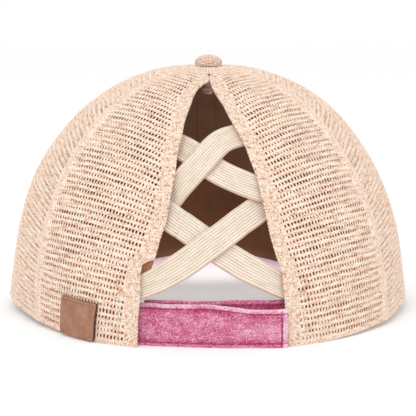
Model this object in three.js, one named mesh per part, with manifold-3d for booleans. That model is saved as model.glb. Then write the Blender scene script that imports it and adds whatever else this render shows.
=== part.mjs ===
// Ponytail baseball cap: six knitted mesh panels, an open back crossed by four elastics, a strap in two
// layers, a sweatband, a lined front and a denim brim.
// Millimetres, +Z up. +Y points to the open back and +X to the wearer's left.
// A place on the crown is a turn, the angle from the back towards +X, and a climb, 0 at the rim and 90
// degrees at the top. Depth is measured inwards from the outer face.

import * as THREE from 'three';
import { mergeVertices } from 'three/addons/utils/BufferGeometryUtils.js';
import Module from 'manifold-3d';

// Crown
const rimHalfWidth = 93.6;
const rimBackDepth = 98;
const rimFrontDepth = 95;
const crownHeight = 109.5;
const sideRoundness = 2.325; // exponents of the crown's profile
const backRoundness = 1.68;
const frontRoundness = 2.2;
const seamRidgeMiddle = 0.006; // how far the seams stand out, as a share of the radius
const seamRidgeRim = 0.003;
const seamTurn = 58.5; // from the back to the seam between back and side panel
const frontSeamTurn = 120; // from the back to the seam between side and front panel
const frontRise = 4.2; // the front rim's middle over the back rim
const frontArch = 9.5; // how far the temples lie below that middle
const templeTurn = 55; // from the front
const archEndTurn = 92; // from the front, where the rim is level again

// Walls and clearances
const panelWall = 1.6;
const hemWall = 2;
const liningWall = 1;
const tapeWall = 0.8;
const sweatbandWall = 1.2;
const elasticWall = 1.2;
const strapWall = 2.2;
const labelWall = 1;
const brimWall = 2.6;
const gap = 0.3; // between pieces that touch
const facetGap = 0.45; // between curved pieces whose facets don't line up
const crossingGap = 0.4; // between elastics that cross
const sweatbandSlack = 0.5; // between the panels and the sweatband
const rivetClearance = 2; // between the rivet's washer and the lining

// Opening, hems and sweatband
const openingHalfWidth = 32;
const hemWidth = 8.5;
const hemEndShare = 0.981; // the height at which the hems run out, as a share of the crown's
const sweatbandHeight = 33;
const sweatbandLift = 1; // its lower edge over the back rim
const sweatbandGap = 3; // between its lower end and the end of the strap beside it
const sweatbandTab = 2.8; // how far its upper left corner shows beside the hem
const sweatbandStep = 1; // from the straps' upper edge to where its ends reach back to the opening
const sweatbandCorner = 0.35; // where it has reached it, as a share of the height that is left
const sweatbandShort = [2, 1]; // from there and from its top to the opening's edge
const sweatbandInnerTurn = 32; // up to here from the back it lies behind the elastics' ends
const sweatbandInnerBlend = 10; // and over these degrees it comes out to the panels
const sweatbandRootBlend = 8; // degrees over which its foot comes down beside the brim
const tapeWidth = 10;

// Elastics and strap
const elasticWidth = 12;
const strapWidth = 18.4;
const strapEndWidth = 15.7;
const strapTaperStart = 0.45; // where the outer strap begins to narrow, as a share of its length
const strapTaperLength = 0.5;
const strapTuck = 9; // how far the straps run on behind the hems
const strapFreeLap = 1.3; // how far the outer strap's free end lies over the right hem
const innerStrapRise = 1.3; // its upper edge over the outer strap's
const innerStrapShort = 4.5; // from the left edge of the opening to its free end

// Label, button and brim
const labelWidth = 22.5;
const labelHeight = 16;
const labelTurn = 37.7; // from the back
const buttonRadius = 6.85;
const buttonHeight = 5;
const buttonFullness = 0.06; // how much fuller than an ellipse its dome is
const buttonEdgeShare = 0.12; // height of its upright edge, as a share of the whole
const rivetShankRadius = 2;
const rivetWasherRadius = 5.5;
const rivetWasherWall = 0.8;
const rivetHeadRadius = 3;
const rivetHeadHeight = 3.4;
const rivetLength = 13.2;
const brimReach = 69;
const brimHalfWidth = 94;
const brimEndTurn = 58; // from the front
const brimEndWidth = 3;
const brimArch = 12;
const brimPitch = 2; // how far the front edge's middle lies below the root's middle
const brimRoundness = 2.3;
const brimWaistPower = 20; // how suddenly it narrows towards its ends
const floorBite = 0.4; // what the floor flattens of the lowest edges
const floorSize = 600;
const floorThickness = 50;

// The rim's outline against an ellipse: flatter across the strap, leaner beside it.
const rimOutline = [
  { turn: 0, radius: 1 },
  { turn: 10, radius: 1.012 },
  { turn: 20, radius: 1.04 },
  { turn: 30, radius: 1.025 },
  { turn: 42, radius: 1 },
  { turn: 52, radius: 0.978 },
  { turn: 62, radius: 0.965 },
  { turn: 72, radius: 0.962 },
  { turn: 80, radius: 0.98 },
  { turn: 90, radius: 1 },
  { turn: 180, radius: 1 },
];

// The opening's edges: height as a share of the crown's, left and right as shares of its half width.
const openingEdge = [
  { height: 0, left: 1, right: 0.985 },
  { height: 0.275, left: 0.915, right: 0.935 },
  { height: 0.335, left: 0.745, right: 0.85 },
  { height: 0.46, left: 0.62, right: 0.74 },
  { height: 0.59, left: 0.53, right: 0.65 },
  { height: 0.73, left: 0.45, right: 0.47 },
  { height: 0.82, left: 0.37, right: 0.29 },
  { height: 0.905, left: 0.24, right: 0.115 },
  { height: 0.957, left: 0.035, right: 0.005 },
  { height: 1, left: 0, right: 0 },
];

// The elastics' centre lines, from one tucked end to the other: across as a share of the opening's half
// width, height as a share of the crown's, layer 0 against the hem and 1 one elastic further in.
const elastics = {
  elastic_upper_over: [
    { across: -0.56, height: 0.784, layer: 0 },
    { across: -0.22, height: 0.762, layer: 0 },
    { across: 0.125, height: 0.694, layer: 0 },
    { across: 0.353, height: 0.615, layer: 0 },
    { across: 0.469, height: 0.557, layer: 1.5 },
    { across: 0.603, height: 0.484, layer: 1.8 },
  ],
  elastic_upper_under: [
    { across: 0.64, height: 0.74, layer: 0 },
    { across: 0.44, height: 0.723, layer: 1 },
    { across: -0.03, height: 0.661, layer: 1 },
    { across: -0.2, height: 0.632, layer: 1 },
    { across: -0.42, height: 0.598, layer: 0 },
    { across: -0.86, height: 0.553, layer: 0 },
  ],
  elastic_lower_under: [
    { across: 0.8, height: 0.526, layer: 0.3 },
    { across: 0.53, height: 0.478, layer: 0.3 },
    { across: 0.385, height: 0.452, layer: 0.4 },
    { across: 0.295, height: 0.434, layer: 1 },
    { across: -0.11, height: 0.358, layer: 1 },
    { across: -0.36, height: 0.313, layer: 1 },
    { across: -0.6, height: 0.277, layer: 0 },
    { across: -1.15, height: 0.201, layer: 0 },
  ],
  elastic_lower_over: [
    { across: -0.95, height: 0.562, layer: 1 },
    { across: -0.47, height: 0.477, layer: 1 },
    { across: -0.33, height: 0.449, layer: 0.1 },
    { across: -0.006, height: 0.388, layer: 0 },
    { across: 0.44, height: 0.303, layer: 0 },
    { across: 1.14, height: 0.194, layer: 0 },
  ],
};

// How deep each strap's outer face lies at shares of its length from the left end, in layers of strap:
// 0 is flush with the crown, 1 is the place behind hem and elastic, and -1 lies on the right hem.
const outerStrapLay = [
  { along: 0, layer: 1 },
  { along: 0.16, layer: 1 },
  { along: 0.27, layer: 0.72 },
  { along: 0.56, layer: 0.17 },
  { along: 0.83, layer: -0.66 },
  { along: 0.93, layer: -1 },
  { along: 1, layer: -1 },
];
const innerStrapLay = [
  { along: 0, layer: 1.63 },
  { along: 0.18, layer: 1.22 },
  { along: 0.41, layer: 1.0 },
  { along: 1, layer: 1 },
];

const panelColumns = 8;

const hemDepth = hemWall + facetGap;
const elasticPitch = elasticWall + crossingGap;
const strapDepth = hemDepth + elasticWall + facetGap;
const sweatbandDepth = panelWall + sweatbandSlack;
const sweatbandBackDepth = hemDepth + elasticWall + 2 * facetGap;
const liningDepth = panelWall + gap;
const tapeDepth = liningDepth + liningWall + gap;

const degrees = Math.PI / 180;
const mix = (a, b, share) => a + (b - a) * share;
const clamp01 = (value) => Math.min(1, Math.max(0, value));
const smooth = (value) => clamp01(value) ** 2 * (3 - 2 * clamp01(value));
const power = (base, exponent) => Math.max(base, 0) ** exponent;

// Reads a column of a table at a key, straight between its rows.
function readTable(table, key, value, column) {
  let row = 1;
  while (row < table.length - 1 && table[row][key] < value) {
    row += 1;
  }
  const from = table[row - 1];
  const to = table[row];
  return mix(from[column], to[column], clamp01((value - from[key]) / (to[key] - from[key])));
}

// Share of the crown's height at a climb. The front is fuller than the back and sides.
function heightShare(turn, climb) {
  const roundness = mix(backRoundness, frontRoundness, smooth(0.5 - 0.5 * Math.cos(turn * degrees)));
  return power(Math.sin(climb * degrees), 2 / roundness);
}

// How far the rim lies over or under the back rim's level: up at the front's middle, down at the temples.
function rimArch(turn) {
  const fromFront = 180 - Math.abs(turn);
  if (fromFront <= templeTurn) {
    return frontRise - frontArch * (0.5 - 0.5 * Math.cos((Math.PI * fromFront) / templeTurn));
  }
  return (frontRise - frontArch) * (1 - smooth((fromFront - templeTurn) / (archEndTurn - templeTurn)));
}

// Radius of the crown at a turn and climb, as a share of the rim's ellipse.
function radiusShare(turn, climb) {
  const seams = [-180, -frontSeamTurn, -seamTurn, 0, seamTurn, frontSeamTurn, 180];
  const last = seams.findIndex((seam, i) => i > 0 && turn <= seam);
  const across = (turn - seams[last - 1]) / (seams[last] - seams[last - 1]);
  const ridge = mix(seamRidgeRim, seamRidgeMiddle, Math.sin(2 * climb * degrees));
  const outline = readTable(rimOutline, 'turn', Math.abs(turn), 'radius');
  const low = (1 - heightShare(turn, climb)) ** 2;
  const profile = power(Math.cos(climb * degrees), 2 / sideRoundness);
  return profile * (1 + ridge * (1 - Math.sin(Math.PI * across))) * (1 + (outline - 1) * low);
}

function outerPoint(turn, climb) {
  const around = Math.min(180, Math.max(-180, turn));
  const radius = radiusShare(around, climb);
  const share = heightShare(around, climb);
  const depth = Math.cos(around * degrees) > 0 ? rimBackDepth : rimFrontDepth;
  return new THREE.Vector3(
    rimHalfWidth * Math.sin(around * degrees) * radius,
    depth * Math.cos(around * degrees) * radius,
    crownHeight * share + rimArch(around) * (1 - share) ** 2,
  );
}

function outerNormal(turn, climb) {
  const step = 0.5;
  const low = Math.max(climb - step, 0);
  const along = outerPoint(turn + step, climb).sub(outerPoint(turn - step, climb));
  const up = outerPoint(turn, climb + step).sub(outerPoint(turn, low));
  return up.cross(along).normalize();
}

// The point at a turn and climb, a depth inside the outer face.
function crownPoint(turn, climb, depth) {
  return outerPoint(turn, climb).addScaledVector(outerNormal(turn, climb), -depth);
}

// The turn at which the crown has a given x at a climb, on the back half.
function turnAt(x, climb) {
  let turn = 0;
  for (let i = 0; i < 12; i += 1) {
    turn = Math.asin(x / (rimHalfWidth * radiusShare(turn, climb))) / degrees;
  }
  return turn;
}

// The climb at which the crown has a given height share on the back half, and that of a given radius share.
const climbAtHeight = (share) => Math.asin(share ** (backRoundness / 2)) / degrees;
const climbAtRadius = (share) => Math.acos(share ** (sideRoundness / 2)) / degrees;

// The climbs at which every panel has a row. Two of them are where the opening and the hems end.
const openingEndShare = openingEdge[openingEdge.length - 2].height;
const openingEnd = climbAtHeight(openingEndShare);
const openingClimbs = [0, 5, 10, 15, 20, 24, 30, 37, 44, 51, 57.5, 63, 68, 71.5, openingEnd];
const hemClimbs = [...openingClimbs, climbAtHeight(hemEndShare)];
const panelClimbs = [...hemClimbs, 83, 86, 88];

// A closed wall through a grid of points: at(row, column, side) is on the outer face for side 0 and on the
// inner face for side 1.
function wallGeometry(rows, columns, at) {
  const positions = [];
  const index = [];
  const corner = (row, column, side) => (side * rows + row) * columns + column;
  const quad = (a, b, c, d) => index.push(a, b, c, a, c, d);
  for (const side of [0, 1]) {
    for (let row = 0; row < rows; row += 1) {
      for (let column = 0; column < columns; column += 1) {
        positions.push(...at(row, column, side).toArray());
      }
    }
  }
  for (let row = 0; row < rows - 1; row += 1) {
    for (let column = 0; column < columns - 1; column += 1) {
      for (const side of [0, 1]) {
        const ring = [
          corner(row, column, side),
          corner(row, column + 1, side),
          corner(row + 1, column + 1, side),
          corner(row + 1, column, side),
        ];
        quad(...(side ? ring.reverse() : ring));
      }
    }
    const end = columns - 1;
    quad(corner(row, 0, 0), corner(row + 1, 0, 0), corner(row + 1, 0, 1), corner(row, 0, 1));
    quad(corner(row, end, 0), corner(row, end, 1), corner(row + 1, end, 1), corner(row + 1, end, 0));
  }
  for (let column = 0; column < columns - 1; column += 1) {
    const end = rows - 1;
    quad(corner(0, column, 0), corner(0, column, 1), corner(0, column + 1, 1), corner(0, column + 1, 0));
    quad(
      corner(end, column, 0),
      corner(end, column + 1, 0),
      corner(end, column + 1, 1),
      corner(end, column, 1),
    );
  }
  if (signedVolume(positions, index) < 0) {
    index.reverse();
  }
  const geometry = new THREE.BufferGeometry();
  geometry.setAttribute('position', new THREE.Float32BufferAttribute(positions, 3));
  geometry.setIndex(index);
  return geometry;
}

function signedVolume(positions, index) {
  const corners = [new THREE.Vector3(), new THREE.Vector3(), new THREE.Vector3()];
  let volume = 0;
  for (let i = 0; i < index.length; i += 3) {
    corners.forEach((corner, k) => corner.fromArray(positions, 3 * index[i + k]));
    volume += corners[0].dot(corners[1].clone().cross(corners[2])) / 6;
  }
  return volume;
}

// Half the gap between two panels, as a turn at a climb.
function seamClearance(turn, climb) {
  return gap / 2 / (rimHalfWidth * radiusShare(turn, climb)) / degrees;
}

// A whole panel between two seams.
function panelGeometry(fromTurn, toTurn, climbs, depth, wall) {
  return wallGeometry(climbs.length, panelColumns + 1, (row, column, side) => {
    const climb = climbs[row];
    const turn = mix(
      fromTurn + seamClearance(fromTurn, climb),
      toTurn - seamClearance(toTurn, climb),
      column / panelColumns,
    );
    return crownPoint(turn, climb, depth + side * wall);
  });
}

// Where the opening's edge lies at a climb, as x. Past the opening's end it is the middle seam.
function edgeX(side, climb) {
  const share = heightShare(0, climb);
  const half = readTable(openingEdge, 'height', share, side > 0 ? 'left' : 'right') * openingHalfWidth;
  return side * Math.max(half, gap / 2);
}

// Where the hem's outer border lies at a climb.
function hemX(side, climb) {
  const share = heightShare(0, climb);
  const taper = 1 - clamp01((share - openingEndShare) / (hemEndShare - openingEndShare));
  return edgeX(side, climb) + side * Math.max(hemWidth * taper, gap);
}

function hemGeometry(side) {
  const columns = 3;
  return wallGeometry(hemClimbs.length, columns, (row, column, face) => {
    const climb = hemClimbs[row];
    const x = mix(edgeX(side, climb), hemX(side, climb), column / (columns - 1));
    return crownPoint(turnAt(x, climb), climb, face * hemWall);
  });
}

function backPanelGeometry(side) {
  return wallGeometry(panelClimbs.length, panelColumns + 1, (row, column, face) => {
    const climb = panelClimbs[row];
    const inHem = row < hemClimbs.length;
    const nearX = inHem ? hemX(side, climb) + side * gap : (side * gap) / 2;
    const seam = side * seamTurn;
    const far = seam - side * seamClearance(seam, climb);
    return crownPoint(mix(turnAt(nearX, climb), far, column / panelColumns), climb, face * panelWall);
  });
}

// The sweatband: from the right end of the opening round the front to the left end. Under the brim's root
// it reaches down over the root's edge. Beside the opening it lies behind the elastics' ends, and below
// them it stops short of the straps' ends.
function sweatbandGeometry() {
  const columns = 45;
  const overStraps = strapWidth + innerStrapRise + facetGap;
  const ends = [
    { height: 0, past: strapTuck + sweatbandGap },
    { height: overStraps / 2, past: strapTuck + sweatbandGap },
    { height: overStraps + sweatbandStep, past: strapTuck + sweatbandGap },
    { height: mix(overStraps + sweatbandStep, sweatbandHeight, sweatbandCorner), past: sweatbandShort[0] },
    { height: sweatbandHeight, past: sweatbandShort[1] },
  ];
  return wallGeometry(ends.length, columns, (row, column, face) => {
    const { height, past } = ends[row];
    const climb = climbAtHeight(height / crownHeight);
    const leftPast = row === ends.length - 1 ? -sweatbandTab : past;
    const left = turnAt(edgeX(1, climb) + leftPast, climb);
    const right = turnAt(edgeX(-1, climb) - past, climb) + 360;
    const turn = mix(left, right, column / (columns - 1));
    const around = turn > 180 ? turn - 360 : turn;
    const nearOpening = 1 - smooth((Math.abs(around) - sweatbandInnerTurn) / sweatbandInnerBlend);
    const depth = mix(sweatbandDepth, sweatbandBackDepth, nearOpening);
    const point = crownPoint(around, climb, depth + face * sweatbandWall);
    const underBrim = 1 - smooth((180 - Math.abs(around) - brimEndTurn) / sweatbandRootBlend);
    const foot = mix(sweatbandLift, -brimWall - gap / 3, underBrim);
    point.z += foot * (1 - height / sweatbandHeight);
    return point;
  });
}

// An elastic as a flat band that lies on the crown's curve, in the layers that its table gives.
function elasticGeometry(table) {
  const path = new THREE.CatmullRomCurve3(
    table.map((row) => new THREE.Vector3(row.across * openingHalfWidth, row.height, 0)),
  );
  const steps = 2 * (table.length - 1);
  const centres = [];
  const normals = [];
  for (let i = 0; i <= steps; i += 1) {
    const place = path.getPoint(i / steps);
    const climb = climbAtHeight(place.y);
    const turn = turnAt(place.x, climb);
    const from = table[Math.floor(i / 2)];
    const to = table[Math.ceil(i / 2)];
    const depth = hemDepth + elasticPitch * mix(from.layer, to.layer, 0.5);
    centres.push(crownPoint(turn, climb, depth));
    normals.push(outerNormal(turn, climb));
  }
  return wallGeometry(centres.length, 2, (row, column, face) => {
    const before = centres[Math.max(row - 1, 0)];
    const after = centres[Math.min(row + 1, steps)];
    const sideways = after.clone().sub(before).cross(normals[row]).normalize();
    return centres[row]
      .clone()
      .addScaledVector(sideways, (column - 0.5) * elasticWidth)
      .addScaledVector(normals[row], -face * elasticWall);
  });
}

// A strap along the back rim, from its left end to its right end. Its lower edge is level with the rim.
function strapGeometry(leftX, rightX, lay, heightLeft, heightRight) {
  const columns = 15;
  const rows = 3;
  return wallGeometry(rows, columns, (row, column, face) => {
    const along = column / (columns - 1);
    const x = mix(leftX, rightX, along);
    const share = row / (rows - 1);
    const taper = smooth((along - strapTaperStart) / strapTaperLength);
    const height = mix(heightLeft, heightRight, taper) * share;
    const climb = climbAtHeight(height / crownHeight);
    const layer = readTable(lay, 'along', along, 'layer');
    const outside = -(gap + strapWall);
    const depth = layer < 0 ? -layer * outside : layer * strapDepth;
    const point = crownPoint(turnAt(x, climb), climb, depth);
    const inward = outerNormal(turnAt(x, 0), 0).setZ(0).normalize();
    return point.addScaledVector(inward, -face * strapWall);
  });
}

function labelGeometry() {
  const columns = 5;
  const rows = 3;
  const halfTurn = labelWidth / 2 / outerPoint(labelTurn, 0).setZ(0).length() / degrees;
  return wallGeometry(rows, columns, (row, column, face) => {
    const turn = labelTurn + mix(-halfTurn, halfTurn, column / (columns - 1));
    const height = (labelHeight * row) / (rows - 1);
    const climb = climbAtHeight(height / crownHeight);
    return crownPoint(turn, climb, -gap - labelWall + face * labelWall);
  });
}

// The brim hangs from the front rim and arches across. Its top face meets the panels' lower edges.
function brimGeometry() {
  const rows = 7;
  const columns = 33;
  const rootMiddle = rimArch(180) - gap;
  const rootPoint = (share) => {
    const turn = 180 - share * brimEndTurn;
    const around = turn > 180 ? turn - 360 : turn;
    const point = crownPoint(around, 0, panelWall);
    point.z = rimArch(around) - gap;
    return point;
  };
  const end = rootPoint(1);
  const length = rimFrontDepth + brimReach + end.y;
  const frontPoint = (share) => {
    const angle = (Math.abs(share) * Math.PI) / 2;
    const sideways = power(Math.sin(angle), 2 / brimRoundness);
    const forward = power(Math.cos(angle), 2 / brimRoundness);
    const waist = (brimHalfWidth - end.x - brimEndWidth) * power(Math.sin(angle), brimWaistPower);
    const x = Math.sign(share) * (brimHalfWidth * sideways - waist);
    const dip = brimArch * (x / brimHalfWidth) ** 2 + brimPitch * forward;
    return new THREE.Vector3(x, end.y - length * forward, rootMiddle - dip);
  };
  return wallGeometry(rows, columns, (row, column, face) => {
    const share = (2 * column) / (columns - 1) - 1;
    const point = rootPoint(share).lerp(frontPoint(share), row / (rows - 1));
    point.z -= face * brimWall;
    return point;
  });
}

// A turned piece from its profile of radius and height pairs.
function turnedGeometry(profile, segments) {
  const outline = profile.map(([radius, height]) => new THREE.Vector2(radius, height));
  return new THREE.LatheGeometry(outline, segments).rotateX(Math.PI / 2);
}

function buttonGeometry() {
  const base = crownHeight + gap;
  const profile = [[0, base]];
  const rings = 6;
  for (let i = 0; i <= rings; i += 1) {
    const angle = (i / rings) * (Math.PI / 2);
    profile.push([
      buttonRadius * (1 - buttonFullness + buttonFullness * Math.sin(2 * angle)) * Math.cos(angle),
      base + buttonHeight * (buttonEdgeShare + (1 - buttonEdgeShare) * Math.sin(angle)),
    ]);
  }
  profile[profile.length - 1][0] = 0;
  return turnedGeometry(profile, 24);
}

function rivetGeometry() {
  const washerTop = crownHeight - panelWall - facetGap;
  const washerFoot = washerTop - rivetWasherWall;
  const foot = crownHeight - rivetLength;
  const headTop = foot + rivetHeadHeight;
  const profile = [
    [0, foot],
    [rivetHeadRadius * 0.55, foot + rivetHeadHeight * 0.1],
    [rivetHeadRadius * 0.88, foot + rivetHeadHeight * 0.35],
    [rivetHeadRadius, foot + rivetHeadHeight * 0.7],
    [rivetHeadRadius * 0.9, headTop],
    [rivetShankRadius, headTop],
    [rivetShankRadius, washerFoot],
    [rivetWasherRadius, washerFoot],
    [rivetWasherRadius, washerTop],
    [rivetShankRadius, washerTop],
    [rivetShankRadius, crownHeight],
    [0, crownHeight],
  ];
  return turnedGeometry(profile, 20);
}

function tapeGeometry(climbs) {
  const columns = 3;
  return wallGeometry(climbs.length, columns, (row, column, face) => {
    const climb = climbs[row];
    const aside = (column / (columns - 1) - 0.5) * tapeWidth;
    const turn = 180 - Math.asin(aside / (rimHalfWidth * radiusShare(180, climb))) / degrees;
    const around = turn > 180 ? turn - 360 : turn;
    return crownPoint(around, climb, tapeDepth + face * tapeWall);
  });
}

// How the cap stands: on the back of its rim and on the brim's corners. The tilt is the angle at which
// both reach the floor.
const brim = brimGeometry();

function lowest(geometry, tilt) {
  const places = geometry.getAttribute('position');
  let low = Infinity;
  for (let i = 0; i < places.count; i += 1) {
    low = Math.min(low, places.getZ(i) * Math.cos(tilt) - places.getY(i) * Math.sin(tilt));
  }
  return low;
}

function findTilt() {
  let from = 0;
  let to = 20 * degrees;
  for (let i = 0; i < 40; i += 1) {
    const tilt = (from + to) / 2;
    const rimFoot = -outerPoint(0, 0).y * Math.sin(tilt);
    if (lowest(brim, tilt) < rimFoot) {
      from = tilt;
    } else {
      to = tilt;
    }
  }
  return (from + to) / 2;
}

const tilt = findTilt();
const cap = new THREE.Group();
cap.rotation.x = -tilt;
cap.position.z = outerPoint(0, 0).y * Math.sin(tilt) - floorBite;
cap.updateMatrix();

// What the floor flattens is cut off level.
const library = await Module();
library.setup();

function solidOf(geometry) {
  const bare = new THREE.BufferGeometry();
  bare.setAttribute('position', geometry.getAttribute('position'));
  bare.setIndex(geometry.getIndex());
  const merged = mergeVertices(bare, 1e-4);
  const mesh = new library.Mesh({
    numProp: 3,
    vertProperties: new Float32Array(merged.getAttribute('position').array),
    triVerts: new Uint32Array(merged.getIndex().array),
  });
  return new library.Manifold(mesh);
}

const floorBlock = new THREE.BoxGeometry(floorSize, floorSize, floorThickness)
  .translate(0, 0, -floorThickness / 2)
  .applyMatrix4(cap.matrix.clone().invert());
const floorSolid = solidOf(floorBlock);

function flattened(geometry) {
  const mesh = solidOf(geometry).subtract(floorSolid).getMesh();
  const result = new THREE.BufferGeometry();
  result.setAttribute('position', new THREE.BufferAttribute(mesh.vertProperties, 3));
  result.setIndex(new THREE.BufferAttribute(mesh.triVerts, 1));
  return result;
}

const finish = (colour, roughness, metalness = 0) =>
  new THREE.MeshStandardMaterial({ color: colour, roughness, metalness });
const knit = finish(0xe8cbb5, 0.9);
const denseKnit = finish(0xeed3bd, 0.9);
const denim = finish(0xdb85a5, 0.85);
const lining = finish(0x51331f, 0.7);
const band = finish(0x6b4429, 0.8);
const elastic = finish(0xeadbc6, 0.75);
const leather = finish(0xa57965, 0.6);
const metal = finish(0x8d7668, 0.35, 0.8);

function addPiece(name, geometry, material) {
  const mesh = new THREE.Mesh(geometry, material);
  mesh.name = name;
  cap.add(mesh);
}

const liningFoot = climbAtHeight((sweatbandHeight + 2 * gap) / crownHeight);
const liningTop = climbAtRadius((rivetWasherRadius + rivetClearance) / rimHalfWidth);
const betweenClimbs = panelClimbs.filter((climb) => climb > liningFoot && climb < liningTop);
const liningClimbs = [liningFoot, ...betweenClimbs, liningTop];

for (const [label, side] of [
  ['left', 1],
  ['right', -1],
]) {
  const ordered = (near, far) => (side > 0 ? [near, far] : [-far, -near]);
  addPiece(`back_panel_${label}`, flattened(backPanelGeometry(side)), knit);
  addPiece(`opening_hem_${label}`, flattened(hemGeometry(side)), denseKnit);
  const sidePanel = panelGeometry(...ordered(seamTurn, frontSeamTurn), panelClimbs, 0, panelWall);
  addPiece(`side_panel_${label}`, flattened(sidePanel), knit);
  const frontSpan = ordered(frontSeamTurn, 180);
  addPiece(`front_panel_${label}`, panelGeometry(...frontSpan, panelClimbs, 0, panelWall), knit);
  const frontLining = panelGeometry(...frontSpan, liningClimbs, liningDepth, liningWall);
  addPiece(`front_lining_${label}`, frontLining, lining);
}
addPiece('front_seam_tape', tapeGeometry(liningClimbs), lining);
addPiece('sweatband', flattened(sweatbandGeometry()), band);
addPiece('brim', flattened(brim), denim);
for (const [name, table] of Object.entries(elastics)) {
  addPiece(name, elasticGeometry(table), elastic);
}

const leftStrapEnd = edgeX(1, 0) + strapTuck;
const rightStrapEnd = edgeX(-1, 0) - strapFreeLap;
const outerStrap = strapGeometry(leftStrapEnd, rightStrapEnd, outerStrapLay, strapWidth, strapEndWidth);
addPiece('strap_outer', flattened(outerStrap), denim);
const innerLeftEnd = edgeX(1, 0) - innerStrapShort;
const innerHeight = strapWidth + innerStrapRise;
const innerRightEnd = edgeX(-1, 0) - strapTuck;
const innerStrap = strapGeometry(innerLeftEnd, innerRightEnd, innerStrapLay, innerHeight, innerHeight);
addPiece('strap_inner', flattened(innerStrap), denim);
addPiece('leather_label', flattened(labelGeometry()), leather);
addPiece('top_button', buttonGeometry(), denseKnit);
addPiece('button_rivet', rivetGeometry(), metal);

// The origin is the middle of the underside of the whole cap's box.
const part = new THREE.Group();
part.add(cap);
part.updateMatrixWorld(true);
const box = new THREE.Box3().setFromObject(part, true);
part.position.set(-(box.min.x + box.max.x) / 2, -(box.min.y + box.max.y) / 2, -box.min.z);

export default part;
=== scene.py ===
"""Ponytail baseball cap: knitted mesh crown, open back crossed by four elastics, denim strap and brim.

Sizes are in millimetres in the cap's own frame, as in the model's source: z = 0 at the back of the rim, +Y to
the open back, +X to the wearer's left. A place on the crown is a turn, the angle from the back towards +X,
and a climb, 0 at the rim and 90 degrees at the top. Depth is measured inwards from the outer face. A body is
a pair, its points and its faces. make_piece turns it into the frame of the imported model.
"""

import math

import bpy
import numpy as np
from mathutils import Matrix, Vector


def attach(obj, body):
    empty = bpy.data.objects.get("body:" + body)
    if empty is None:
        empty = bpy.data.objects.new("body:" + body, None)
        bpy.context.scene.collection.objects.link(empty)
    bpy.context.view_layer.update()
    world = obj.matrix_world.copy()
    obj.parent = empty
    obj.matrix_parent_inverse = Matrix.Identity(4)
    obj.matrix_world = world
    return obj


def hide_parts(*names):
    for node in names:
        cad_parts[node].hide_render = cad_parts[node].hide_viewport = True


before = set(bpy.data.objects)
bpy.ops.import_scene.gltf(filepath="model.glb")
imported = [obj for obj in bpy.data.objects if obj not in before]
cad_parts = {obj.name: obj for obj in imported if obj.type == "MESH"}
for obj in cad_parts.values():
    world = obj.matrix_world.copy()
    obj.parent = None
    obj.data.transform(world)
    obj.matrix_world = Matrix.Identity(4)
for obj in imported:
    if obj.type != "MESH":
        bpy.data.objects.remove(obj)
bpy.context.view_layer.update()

MM = 0.001
RNG = np.random.default_rng(7)

# Crown
RIM_HALF_WIDTH = 93.6
RIM_BACK_DEPTH = 98.0
RIM_FRONT_DEPTH = 95.0
CROWN_HEIGHT = 109.5
SIDE_ROUNDNESS = 2.325
BACK_ROUNDNESS = 1.68
FRONT_ROUNDNESS = 2.2
SEAM_RIDGE_MIDDLE = 0.006
SEAM_RIDGE_RIM = 0.003
SEAM_TURN = 58.5
FRONT_SEAM_TURN = 120.0
SEAMS = np.array([-180, -FRONT_SEAM_TURN, -SEAM_TURN, 0, SEAM_TURN, FRONT_SEAM_TURN, 180])
FRONT_RISE = 4.2
FRONT_ARCH = 9.5
TEMPLE_TURN = 55.0
ARCH_END_TURN = 92.0
RIM_OUTLINE = {
    "turn": [0, 10, 20, 30, 42, 52, 62, 72, 80, 90, 180],
    "radius": [1, 1.012, 1.04, 1.025, 1, 0.978, 0.965, 0.962, 0.98, 1, 1],
}

# Walls, and the depths at which the layers lie
PANEL_WALL = 0.45
LINING_WALL = 1.0
ELASTIC_WALL = 1.2
STRAP_WALL = 2.2
BAND_WALL = 1.2
BRIM_WALL = 2.6
CAD_PANEL_WALL = 1.6
CAD_HEM_WALL = 2.0
GAP = 0.3
FACET_GAP = 0.45
HEM_DEPTH = CAD_HEM_WALL + FACET_GAP
ELASTIC_PITCH = ELASTIC_WALL + 0.4
STRAP_DEPTH = HEM_DEPTH + ELASTIC_WALL + FACET_GAP
BAND_DEPTH = CAD_PANEL_WALL + 0.5
BAND_FRONT_DEPTH = 1.0  # it lies against the mesh
BAND_BACK_DEPTH = HEM_DEPTH + ELASTIC_WALL + 2 * FACET_GAP
LINING_DEPTH = CAD_PANEL_WALL + GAP
TAPE_DEPTH = LINING_DEPTH + LINING_WALL + GAP

# Opening: the edges' distance from the middle as a share of its half width, at shares of the crown's height
OPENING_HALF_WIDTH = 32.0
OPENING_EDGE = {
    "height": [0, 0.275, 0.312, 0.334, 0.46, 0.59, 0.73, 0.82, 0.905, 0.94, 0.957, 0.966, 1],
    "left": [1, 0.945, 0.925, 0.765, 0.62, 0.53, 0.45, 0.37, 0.255, 0.17, 0.09, 0.02, 0],
    "right": [0.985, 0.935, 0.885, 0.85, 0.74, 0.65, 0.48, 0.31, 0.125, 0.05, 0.012, 0.002, 0],
}
OPENING_END = 0.964
HEM_END = 0.983
HEM_WIDTH = 5.0
HEM_FOOT_WIDTH = 5.2  # beside the strap
HEM_FOOT_SHARE = 0.22
HEM_CUT = 10.0  # with its turned edge

# Knit: the mesh's cells, and where its rows lie square to the panel
CELL_WIDTH = 1.78
ROW_PITCHES = (3.0, 2.4)
FOLD_HEIGHT = 1.7
HOLE_HALF_WIDTH = 0.57
HOLE_HALF_HEIGHT = 0.81
HOLE_DEPTH = 0.1
BACK_BASE_TURN = 48.0
SIDE_BASE_TURN = 91.0
FRONT_BASE_TURN = 150.0
SEAM_BAND = 3.0
HOLE_FADE = 1.8
SEAM_SWELL = 0.3
SEAM_SWELL_WIDTH = 1.6

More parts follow.
